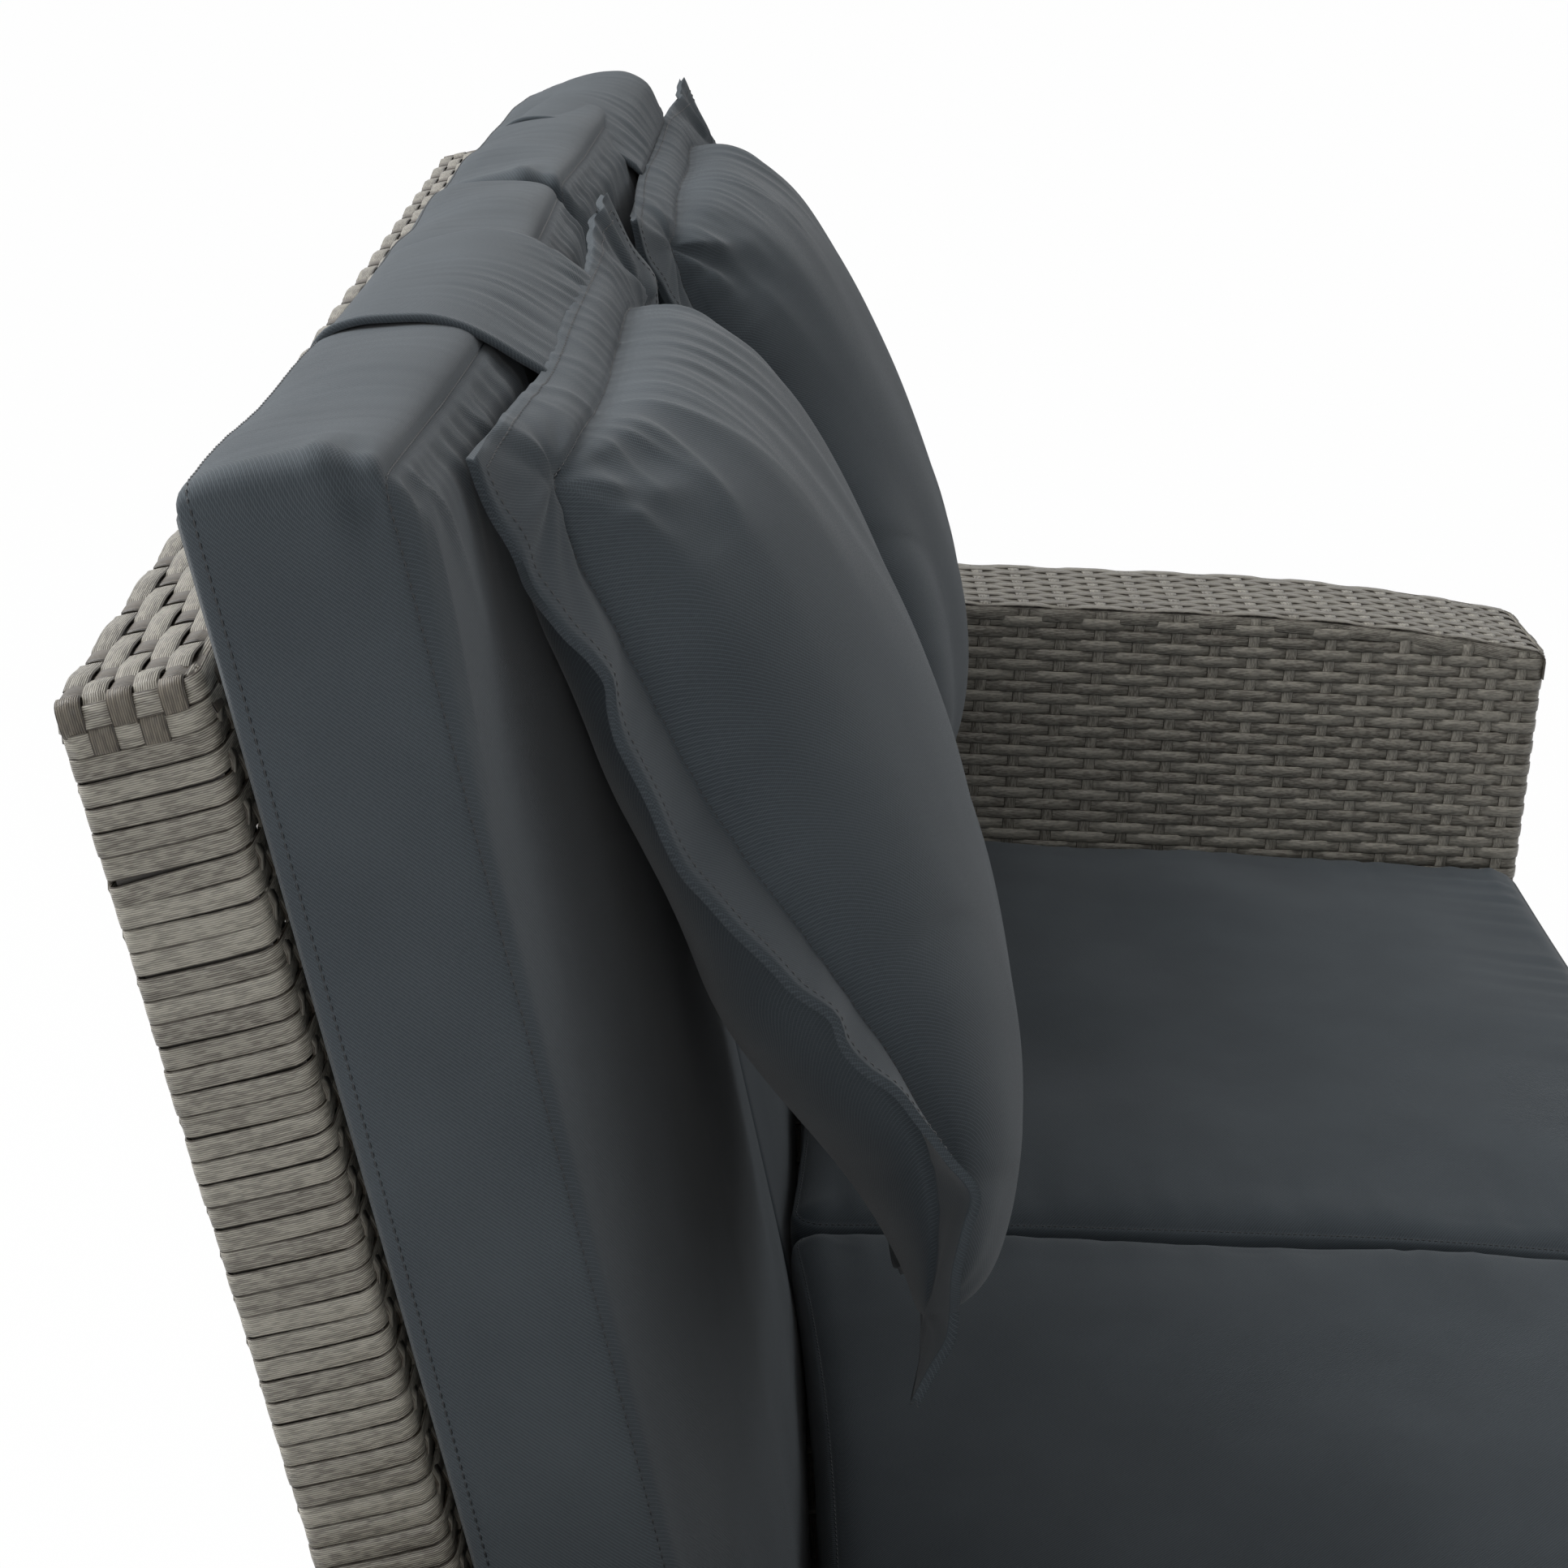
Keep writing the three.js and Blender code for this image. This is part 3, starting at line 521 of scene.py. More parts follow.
def back_wicker():
    """The leaning back's skin: wraps round it, uprights over its top, and the lengthwise rows there."""
    half = PANEL_HALF - SKIN_INSET
    high = BACK_THICK - SKIN_INSET
    # Anticlockwise seen from above in (x, -depth): rear face first, where the wraps' own ends lie
    corners = [(half, 0.0), (-half, 0.0), (-half, -high), (half, -high)]
    even = np.linspace(-END_UPRIGHTS[0], END_UPRIGHTS[0], round(2 * END_UPRIGHTS[0] / WARP_PITCH) + 1)
    uprights_x = np.concatenate([-END_UPRIGHTS[:0:-1], even, END_UPRIGHTS[1:]])
    count = len(uprights_x)
    rows = int((BACK_LENGTH - 4 * MM - FIRST_ROW) / ROW_PITCH)
    made = []

    def upright_number(x):
        return np.interp(x, np.concatenate([[-half], uprights_x, [half]]), np.arange(-1, count + 1))

    def lane_number(depth):
        return np.interp(depth, TOP_LANES, np.arange(5))

    def add_parts(path, phase, lift, parts):
        """Adds parts of one path over the top to the strands that they belong to."""
        points, outward = path
        for strand, start, end in parts:
            strand.add(points[start:end], outward[start:end], phase[start:end], lift[start:end])

    for number, name in enumerate(("upper", "middle", "lower")):
        weave = Strands(f"back_wicker_{name}", 11 + number)
        for row in range(number * rows // 3, (number + 1) * rows // 3):
            fine = row < 2
            end_spacing = (1.9 if fine else 12) * MM
            flat, ray, side = rounded_path(
                corners, (REAR_CORNER, BACK_END_CORNER), 4, [8.5 * MM, end_spacing, 11.5 * MM, end_spacing])
            x, depth = flat[:, 0], -flat[:, 1]
            out_x, out_depth = ray[:, 0], -ray[:, 1]
            long_side = (side % 2 == 0) & (np.abs(out_x) < 0.5)
            phase = upright_number(x) + row
            lift = np.where(long_side, fade(half - np.abs(x), BACK_END_CORNER, 12 * MM), 0.0)
            if fine:
                phase = np.where(long_side, phase, lane_number(depth) + row + 1)
                lift = np.where(~long_side & (np.abs(out_x) > 0.95), 1.0, lift)
            jitter = weave.random.normal(0, 0.2 * MM)
            tilt = weave.random.normal(0.025, 0.006) * (depth - 0.5 * BACK_THICK)
            tilt = tilt + 3 * MM * fade(depth, 34 * MM, 50 * MM) ** 2
            if row == DIPPED_ROW:
                tilt = tilt - 0.06 * np.maximum(26 * MM - depth, 0)
            swell = (0.0 if fine else 0.3 * MM) * weave.random.uniform(-1, 1)
            points = on_back(x + out_x * swell, depth + out_depth * swell,
                             jitter + tilt - FIRST_ROW - row * ROW_PITCH)
            # The first row leans in, so that its upper edge lies under the strands that turn over it
            lean = FIRST_ROW_LEAN if row == 0 else 0.0
            flat_share = math.cos(lean)
            outward = turned_on_back(out_x * flat_share, out_depth * flat_share, math.sin(lean))
            weave.add(points, outward, phase, lift, closed=True)
        sides, width = (8, STRAND_WIDTH) if name == "upper" else (6, STRAND_WIDTH * SIX_SIDED)
        made.append(weave.build(width, RATTAN, unevenness=0.3 * MM, sides=sides))
    uprights = Strands("back_uprights", 21)
    ties = Strands("back_top_ties", 24)
    climb = 0.5 * MM - FIRST_ROW - ROW_PITCH * np.arange(rows - 1, 0, -1)
    over = np.arange(REAR_CORNER, high - CORNER, 2 * MM)[1:]
    for number, x in enumerate(uprights_x):
        depth, rise, out, up = over_top((0, high), (climb, climb[::-1]), (REAR_CORNER, CORNER), over,
                                        (0, 0, 0), (QUARTER, QUARTER))
        rise = rise - 0.5 * MM
        on_top = up > 0.9
        phase = np.where(on_top, lane_number(depth) + number, (-rise - FIRST_ROW) / ROW_PITCH + number + 1)
        lift = np.where(on_top & (depth > 38 * MM), 0.3, 1.0)
        behind, ahead = len(climb), len(rise) - len(climb)
        add_parts((on_back(x, depth, rise), turned_on_back(0, out, up)), phase, lift,
                  ((uprights, 0, behind), (ties, behind - 1, ahead + 1), (uprights, ahead, None)))
    made.append(uprights.build(UPRIGHT_WIDTH, RATTAN, sides=6))
    made.append(ties.build(TIE_WIDTH, RATTAN_TIE_SHADE, unevenness=0.3 * MM))
    top = Strands("back_top_lengthwise", 22)
    turned = Strands("back_top_turned_ends", 25)
    runs = np.arange(-half + TOP_END_CORNER, half - TOP_END_CORNER + MM, 2 * MM)
    for lane, depth in enumerate(TOP_LANES):
        proud = lane % 2 == 0
        down = np.arange(TOP_END_CORNER + MM, FIRST_ROW + (0.75 if proud else 1.6) * ROW_PITCH, 1.6 * MM)
        x, rise, out, up = over_top((-half, half), (-down[::-1], -down), (TOP_END_CORNER, TOP_END_CORNER),
                                    runs, (0, 0, 0), (QUARTER[:-1], QUARTER[1:]))
        on_top = np.abs(x) < half - TOP_END_CORNER + 0.1 * MM
        rows_down = (np.maximum(-rise, FIRST_ROW) - FIRST_ROW) / ROW_PITCH
        phase = np.where(on_top, upright_number(x) + lane + 1, rows_down + lane)
        # The end pieces, darker with painted shade, meet the top's strands under the last tie, or under the
        # first row
        joint = len(down) + (len(QUARTER) + 5 if proud else 1)
        add_parts((on_back(x, depth, rise - 0.5 * MM), turned_on_back(out, 0, up)), phase, 1.0 + 0 * phase,
                  ((turned, 0, joint), (top, joint - 1, len(x) - joint + 1), (turned, len(x) - joint, None)))
    edge = np.arange(-half + 5 * MM, half - 5 * MM, 6 * MM)
    top.add(on_back(edge, high - 3.2 * MM, -3.2 * MM), turned_on_back(0, 0.7, 0.7), upright_number(edge), 0.6)
    made.append(top.build(LANE_WIDTH, RATTAN_TOP_SHADE, sharpness=5, hump=0.9 * MM, bias=0.68, unevenness=0.3 * MM))
    made.append(turned.build(TURNED_END_WIDTH, RATTAN_SHADE, bias=0.3, unevenness=0.2 * MM))
    for piece in made:
        dress(piece, "sofa")
    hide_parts("back_weave")


ARM_NOSE = 240 * MM
ARM_NOSE_DROP = 19 * MM
ARM_ROW = 8.15 * MM
# Uprights near an arm's front end, closer together than the rest
ARM_FRONT_UPRIGHTS = np.array([-384, -363, -343, -321, -297, -270, -243]) * MM
ARM_UPRIGHT_PITCH = 28 * MM
ARM_LANE = 8.4 * MM
ARM_ROW_WIDTH = 8.9 * MM
ARM_UPRIGHT_WIDTH = 8.7 * MM
ARM_LANE_WIDTH = 9.5 * MM
RIM_WIDTH = 10 * MM


def arm_top_at(y):
    """The height of the arm's top along its length."""
    run = np.clip((ARM_LOW[1] + ARM_NOSE - y) / ARM_NOSE, 0, 1)
    return ARM_HIGH[2] - ARM_NOSE_DROP * run * run


def arm_wicker(end):
    """One arm's skin: rows round it, uprights over its top, and the lengthwise rows along the top."""
    side = SIDES[end]
    inner, outer = ARM_LOW[0] + SKIN_INSET, ARM_HIGH[0] - SKIN_INSET
    front, rear = ARM_LOW[1] - SKIN_INSET, ARM_HIGH[1] - SKIN_INSET
    bottom = ARM_LOW[2]
    rows = round((ARM_HIGH[2] - bottom) / ARM_ROW)
    step = (ARM_HIGH[2] - bottom) / rows
    end_pitch = (outer - inner) / 4
    more = np.arange(ARM_FRONT_UPRIGHTS[-1] + ARM_UPRIGHT_PITCH, rear - 8 * MM, ARM_UPRIGHT_PITCH)
    uprights_y = np.concatenate([ARM_FRONT_UPRIGHTS, more])

    def upright_number(y):
        return np.interp(y, uprights_y, np.arange(len(uprights_y)))

    seed = 31 if side < 0 else 41
    made = []
    flat, ray, where = rounded_path([(inner, front), (outer, front), (outer, rear), (inner, rear)],
                                    (CORNER, CORNER), 4, [7 * MM, ARM_LANE, 7 * MM, ARM_LANE])
    x, y = flat[:, 0], flat[:, 1]
    outward = stacked(side * ray[:, 0], ray[:, 1], 0)
    flat_face = np.maximum(np.abs(ray[:, 0]), np.abs(ray[:, 1])) > 0.98
    along_face = np.where(where % 2 == 1, upright_number(y), (x - inner) / end_pitch - 0.5)
    for name, span in (("lower", range(0, rows // 2)), ("upper", range(rows // 2, rows - 1))):
        weave = Strands(f"arm_wicker_{name}_{end}", seed + len(made))
        for row in span:
            # Rows lie level, and slip under the rim strand where the top falls below them
            height = np.minimum(bottom + (row + 0.5) * step, arm_top_at(y) - 5 * MM)
            free = fade(arm_top_at(y) - height, 5 * MM, 9 * MM)
            lift = np.where(flat_face, 1.0, 0.25) * free + 0.2 * (1 - free)
            inset = (1 - free) * 1.2 * MM
            jitter = weave.random.normal(0, 0.15 * MM)
            points = stacked(side * (x - ray[:, 0] * inset), y - ray[:, 1] * inset, height + jitter)
            weave.add(points, outward, along_face + row, lift, closed=True)
        made.append(weave.build(ARM_ROW_WIDTH, RATTAN, sharpness=2.6, bias=0.1,
                                unevenness=0.25 * MM, sides=6))
    rim_strand = Strands(f"arm_rim_{end}", seed + 3)
    rim_strand.add(stacked(side * x, y, arm_top_at(y) - 7 * MM), outward, along_face + rows - 1,
                   np.where(flat_face, 1.0, 0.4), closed=True)
    made.append(rim_strand.build(RIM_WIDTH, RATTAN, thickness=1.5 * MM, lift=1.2 * MM, unevenness=0.2 * MM))
    uprights = Strands(f"arm_uprights_{end}", seed + 4)
    lanes = round((outer - inner) / ARM_LANE)
    lane = (outer - inner) / lanes
    over = np.arange(inner + CORNER, outer - CORNER, lane / 3)
    for warp, y in enumerate(uprights_y):
        top = float(arm_top_at(y)) - SKIN_INSET
        climb = np.arange(bottom + step / 2, top - CORNER, step)
        x, z, out, up = over_top((inner, outer), (climb, climb[::-1]), (CORNER, CORNER), over,
                                 (top, top, top), (QUARTER[1:-1], QUARTER[1:-1]))
        on_top = up > 0.9
        phase = np.where(on_top, (x - inner) / lane - 0.5, (z - bottom) / step - 0.5) + warp + 1
        uprights.add(stacked(side * x, y, z), stacked(side * out, 0, up), phase, np.where(on_top, 0.8, 1.0))
    for index in range(4):
        x = inner + (index + 0.5) * end_pitch
        for y, out in ((front, -1.0), (rear, 1.0)):
            climb = np.arange(bottom + step / 2, float(arm_top_at(y)) - 4 * MM, step)
            phase = (climb - bottom) / step - 0.5 + index + 1
            uprights.add(stacked(side * x, y, climb), (0, out, 0), phase, 1.0)
    made.append(uprights.build(ARM_UPRIGHT_WIDTH, RATTAN, sides=6))
    top_rows = Strands(f"arm_top_{end}", seed + 6)
    run = np.arange(front + CORNER, rear - CORNER, 7.4 * MM)
    ends = arm_top_at(np.array([[front], [rear]])) - SKIN_INSET
    y, z, out, up = over_top((front, rear), ends - 20 * MM, (CORNER, CORNER), run,
                             (ends[0], arm_top_at(run) - SKIN_INSET, ends[1]), (QUARTER[:-1], QUARTER[1:]))
    for index in range(lanes):
        points = stacked(side * (inner + (index + 0.5) * lane), y, z)
        top_rows.add(points, stacked(0, out, up), upright_number(y) + index, np.where(up > 0.9, 1.0, 0.2))
    made.append(top_rows.build(ARM_LANE_WIDTH, RATTAN_TOP_SHADE, lift=0.6 * MM, bias=0.35, sides=6))
    for piece in made:
        dress(piece, "sofa")
    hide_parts(f"arm_weave_{end}")


# The apron's uprights turn over its upper edges in one slanting step, a millimetre in and down
APRON_BEND = MM / (1 - math.cos(math.pi / 4))
APRON_CORNER = 5 * MM
APRON_ROW = 8 * MM
APRON_ROW_WIDTH = 8.6 * MM
APRON_UPRIGHT_WIDTH = 8.3 * MM


def apron_wicker():
    """The woven panel below the seat's front edge."""
    half = APRON_HIGH[0] - SKIN_INSET
    front, rear = APRON_LOW[1] + SKIN_INSET, APRON_HIGH[1] - SKIN_INSET
    warps = round(2 * half / WARP_PITCH)
    pitch = 2 * half / warps
    rows = round((APRON_HIGH[2] - APRON_LOW[2]) / APRON_ROW)
    step = (APRON_HIGH[2] - APRON_LOW[2]) / rows
    weave = Strands("apron_wicker", 51)
    flat, ray, where = rounded_path([(-half, front), (half, front), (half, rear), (-half, rear)],
                                    (APRON_CORNER, APRON_CORNER), 3, [9.2 * MM, 8 * MM, 13 * MM, 8 * MM])
    lift = np.where((where % 2 == 0) & (np.abs(ray[:, 1]) > 0.98), 1.0, 0.0)
    for row in range(rows):
        height = APRON_LOW[2] + (row + 0.5) * step + weave.random.normal(0, 0.2 * MM)
        points = stacked(flat[:, 0], flat[:, 1], min(height, APRON_HIGH[2] - 5 * MM))
        outward = stacked(ray[:, 0], ray[:, 1], 0)
        weave.add(points, outward, (flat[:, 0] + half) / pitch - 0.5 + row, lift, closed=True)
    piece = weave.build(APRON_ROW_WIDTH, RATTAN, sides=6)
    uprights = Strands("apron_uprights", 52)
    top = APRON_HIGH[2] - SKIN_INSET
    climb = np.arange(APRON_LOW[2] + step / 2, top - 4 * MM, step)
    bend = np.array([math.pi / 4])
    y, z, out, up = over_top((front, rear), (climb, climb[::-1]), (APRON_BEND, APRON_BEND),
                             np.linspace(front + 4 * MM, rear - 4 * MM, 6), (top, top, top), (bend, bend))
    for warp in range(warps):
        phase = np.where(up > 0.5, (y - front) / (8 * MM), (z - APRON_LOW[2]) / step - 0.5) + warp + 1
        uprights.add(stacked(-half + (warp + 0.5) * pitch, y, z), stacked(0, out, up), phase, 1.0)
    run = np.arange(-half, half, 7.5 * MM)
    for index in range(3):
        points = stacked(run, front + (index + 0.5) * (rear - front) / 3, top)
        uprights.add(points, (0, 0, 1), (run + half) / pitch - 0.5 + index, 1.0)
    for made in (piece, uprights.build(APRON_UPRIGHT_WIDTH, RATTAN, sides=6)):
        dress(made, "sofa")
    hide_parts("apron_weave")


DECK_ROW = 9.2 * MM
DECK_STRAND_WIDTH = 8.3 * MM


def deck_wicker():
    """The woven deck under the seat cushions."""
    low_x, high_x = DECK_LOW[0] + 4 * MM, DECK_HIGH[0] - 4 * MM
    low_y, high_y = DECK_LOW[1] + 4 * MM, DECK_HIGH[1] - 4 * MM
    height = (DECK_LOW[2] + DECK_HIGH[2]) / 2
    rows = int((high_y - low_y) / DECK_ROW)
    step = (high_y - low_y) / rows
    warps = round((high_x - low_x) / WARP_PITCH)
    pitch = (high_x - low_x) / warps
    weave = Strands("deck_wicker", 61)
    run = np.arange(low_x + pitch / 2, high_x, pitch)
    for row in range(rows):
        points = stacked(run, low_y + (row + 0.5) * step, height)
        weave.add(points, (0, 0, 1), (run - low_x) / pitch - 0.5 + row, 1.0)
    span = np.arange(low_y + step / 2, high_y, step)
    for warp in range(warps):
        points = stacked(low_x + (warp + 0.5) * pitch, span, height)
        weave.add(points, (0, 0, 1), (span - low_y) / step - 0.5 + warp + 1, 1.0)
    # Painted shade: the deck takes the shaded copy of the rattan
    piece = weave.build(DECK_STRAND_WIDTH, RATTAN_SHADE, thickness=1.1 * MM, lift=0.7 * MM,
                        unevenness=0.1 * MM, sides=6)
    dress(piece, "sofa")
    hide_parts("deck_weave")


# cloth


WAVES = 9


def ripple(x, y, seed, scale):
    """Slow pseudo-random height between about -1 and 1, the same each run."""
    random = np.random.default_rng(seed)
    total = np.zeros(np.broadcast(x, y).shape)
    for _ in range(WAVES):
        angle = random.uniform(0, 2 * math.pi)
        rate = scale * random.uniform(0.5, 1.6)
        total = total + np.sin(2 * math.pi * rate * (x * math.cos(angle) + y * math.sin(angle))
                               + random.uniform(0, 2 * math.pi))
    return total / math.sqrt(WAVES)


WELD = 0.02 * MM


def cloth_piece(name, sheets):
    """One closed mesh from grids of places with their flat cloth measures, welded along their edges."""
    mesh = bpy.data.meshes.new(name)
    work = bmesh.new()
    layer = work.loops.layers.uv.new("cloth")
    for places, cloth, flip in sheets:
        rows, columns = places.shape[:2]
        grid = [[work.verts.new(places[row, column]) for column in range(columns)] for row in range(rows)]
        for row in range(rows - 1):
            for column in range(columns - 1):
                ring = [(row, column), (row, column + 1), (row + 1, column + 1), (row + 1, column)]
                if flip:
                    ring.reverse()
                face = work.faces.new([grid[down][along] for down, along in ring])
                face.smooth = True
                for loop, corner in zip(face.loops, ring):
                    loop[layer].uv = cloth[corner]
    bmesh.ops.remove_doubles(work, verts=work.verts, dist=WELD)
    bmesh.ops.recalc_face_normals(work, faces=work.faces)
    work.to_mesh(mesh)
    work.free()
    mesh.materials.append(SLATE)
    return new_piece(name, mesh)


def spread(count, power):
    """Shares from -1 to 1, closer together towards the ends."""
    even = np.linspace(-1, 1, count)
    return (1 - power) * even + power * np.sin(even * math.pi / 2)


def rounded_outline(u, v, half_a, half_b, radius):
    """A square grid's points laid on a rectangle with rounded corners."""
    a, b = u * half_a, v * half_b
    lead_a = (np.abs(a) - half_a + radius) / radius
    lead_b = (np.abs(b) - half_b + radius) / radius
    corner = (lead_a > 0) & (lead_b > 0)
    squeeze = np.where(corner, np.maximum(lead_a, lead_b) / np.hypot(np.where(corner, lead_a, 1), lead_b), 1)
    over_a = np.where(corner, half_a - radius + lead_a * squeeze * radius, np.abs(a))
    over_b = np.where(corner, half_b - radius + lead_b * squeeze * radius, np.abs(b))
    return np.sign(a) * over_a, np.sign(b) * over_b


BOXING_STEPS = 22
# The row of stitches beside the rear seam lies on the boxing, a little in front of it
REAR_STITCH_STEP = 18
STITCH_PITCH = 3.4 * MM
STITCH_LENGTH = 2.9 * MM
STITCH_WIDTH = 0.8 * MM
STITCH_THICKNESS = 0.6 * MM
# How far a stitch stands off the cloth at its start, middle and end
STITCH_BEND = np.array([[-0.3], [0.3], [-0.3]]) * MM


def boxed_cushion(name, place, half_a, half_b, boxing, form):
    """A boxed cushion in local a, b and height, mapped to the world by place.

    form holds, for the front and rear panels, how far they stand proud inside their seams (puff),
    their crown and their corner radius, and over what distance they rise (roll); how many cells they
    have and how these crowd towards their ends; how far the sides are drawn in and bulge out, and the
    upper one more (top_bulge); and functions that add folds to the front panel (extra) or to the
    sides (side_folds), or sink a dimple into them (dent)."""
    across, down = form["cells"]
    u, v = np.meshgrid(spread(across + 1, form["crowding"]), spread(down + 1, 0.8))
    drawn, puff, seed = form["drawn"], form["puff"], form["seed"]

    def outline(u, v, lower):
        radius = form["corner"][0] + (form["corner"][1] - form["corner"][0]) * lower
        a, b = rounded_outline(u, v, half_a, half_b, radius)
        return a - u * drawn * (1 - v * v), b - v * drawn * (1 - u * u)

    def panel(sign):
        a, b = outline(u, v, (1 - sign) / 2)
        near = np.minimum(half_a * (1 - np.abs(u)), half_b * (1 - np.abs(v)))
        full = (1 - np.abs(u) ** 3.2) * (1 - np.abs(v) ** 3.2)
        rear = 0 if sign > 0 else 1
        height = boxing / 2 + puff[rear] * (1 - np.exp(-near / form["roll"])) + form["crown"][rear] * full
        height = height + 1.3 * MM * ripple(a, b, seed + 1 - rear, 4) * fade(near, 0, 40 * MM)
        if not rear:
            height = height + form["extra"](a, b, near)
        return place(a, b, sign * height), stacked(a, b)

    ring = rim(down + 1, across + 1)
    edge_u, edge_v = u[ring], v[ring]
    strip, cloth = [], []
    length = path_length(stacked(*outline(edge_u, edge_v, 0)))
    for step in range(BOXING_STEPS + 1):
        level = math.cos(math.pi * step / BOXING_STEPS)
        a, b = outline(edge_u, edge_v, (1 - level) / 2)
        run_a = np.roll(a[:-1], -1) - np.roll(a[:-1], 1)
        run_b = np.roll(b[:-1], -1) - np.roll(b[:-1], 1)
        size = np.hypot(run_a, run_b)
        out_a, out_b = (np.append(run, run[0]) for run in (run_b / size, -run_a / size))
        top = ease(out_b, 0.3, 0.95)
        bulge = form["bulge"] + (form["top_bulge"] - form["bulge"]) * top
        swell = bulge * (1 - level ** 2) ** 0.36
        swell = swell * (1 + 0.1 * ripple(length, level * 0.05, seed + 7, 7))
        if "side_folds" in form:
            swell = swell + form["side_folds"](a, b, level) * (1 - level ** 2) ** 0.3
        if "dent" in form:
            swell = swell - form["dent"](a, b, level)
        strip.append(place(a + swell * out_a, b + swell * out_b, level * boxing / 2))
        if step == REAR_STITCH_STEP:
            proud = swell + MM
            beside_rear = place(a + proud * out_a, b + proud * out_b, level * boxing / 2)
        cloth.append(stacked(length, (1 - level) / 2 * boxing * 1.15))
    front, front_cloth = panel(1)
    back, back_cloth = panel(-1)
    a, b = outline(edge_u, edge_v, 0)
    beside_front = place(a + out_a * MM, b + out_b * MM, boxing / 2 + MM)
    seams = [(place(a, b, boxing / 2), beside_front), (strip[REAR_STITCH_STEP], beside_rear)]
    piece = cloth_piece(name, [(front, front_cloth, False), (back, back_cloth + 1, True),
                               (np.array(strip), np.array(cloth) + 2, True)])
    return piece, stitched(name.replace("cushion", "seam"), seams)


def stitched(name, seams):
    """Rows of stitches sunk along closed seam lines, each given with a line that lies farther out."""
    row = Strands(name, 70)
    for line, beside in seams:
        outward = (beside - line) / np.linalg.norm(beside - line, axis=1, keepdims=True)
        step = path_length(line)
        keep = np.concatenate([[True], np.diff(step) > 1e-6])
        step, line, outward = step[keep], line[keep], outward[keep]
        for start in np.arange(0, step[-1] - STITCH_LENGTH, STITCH_PITCH):
            at = start + STITCH_LENGTH * np.linspace(0, 1, 3)
            places, facing = (
                stacked(*[np.interp(at, step, axis) for axis in values.T]) for values in (line, outward))
            row.add(places + facing * STITCH_BEND, facing, 0.0, 0.0)
    return row.build(STITCH_WIDTH, STITCH, thickness=STITCH_THICKNESS, unevenness=0.0, sides=4)


def gathers(along, seed, pitch):
    """Uneven crests along a gathered seam."""
    warp = along + 0.35 * pitch * ripple(along, 0, seed, 0.35 / pitch)
    return 0.6 * np.sin(2 * math.pi * warp / pitch) + 0.4 * np.sin(2 * math.pi * warp / (pitch * 0.57) + seed)


def tucks(along, away, seed, half, pitch, reach, slant=0.3):
    """Separate ridges thrown up by a gathered seam, each with a place, width, reach and slant of its own.

    along runs over -half to half beside the seam and away is the distance from it."""
    random = np.random.default_rng(seed)
    total = np.zeros(np.broadcast(along, away).shape)
    for start in np.arange(-half, half, pitch):
        middle = start + pitch * random.uniform(-0.45, 0.45) + away * random.normal(0, slant)
        wide = pitch * random.uniform(0.2, 0.48) + 0.06 * np.maximum(away, 0)
        far = reach * random.uniform(0.35, 1.7)
        ridge = np.exp(-np.abs((along - middle) / wide) ** 1.7) * np.exp(-(np.abs(away) / far) ** 1.5)
        total = total + random.uniform(0.3, 1.2) * ridge
    return total


CUSHION_SEAMS = (52.6 * MM, 113.4 * MM)
CUSHION_LOW, CUSHION_TOP = -600 * MM, 47 * MM
CUSHION_HALF = 300 * MM
# By place across each cushion, in millimetres: how far its top stands forward of its foot, and how far
# it sags
CUSHION_TIP = {
    "near": np.array([[-300, -200, -90, 80, 200, 300], [0, 3, 9, 13, 13, 12], [0, 1, 1, 1, 4, 7]]),
    "far": np.array([[-300, -200, -90, 80, 200, 300], [14, 17, 22, 28, 30, 30], [6, 6, 5, 8, 18, 28]]),
}


def cushion_lean(end, across, rise):
    """How far a back cushion leans forward at a place across it and up its height."""
    knots, forward, _ = CUSHION_TIP[end] * MM
    at = np.clip(across, -CUSHION_HALF, CUSHION_HALF)
    return smooth_curve(knots, forward, at) * ease(rise, -300 * MM, 40 * MM)


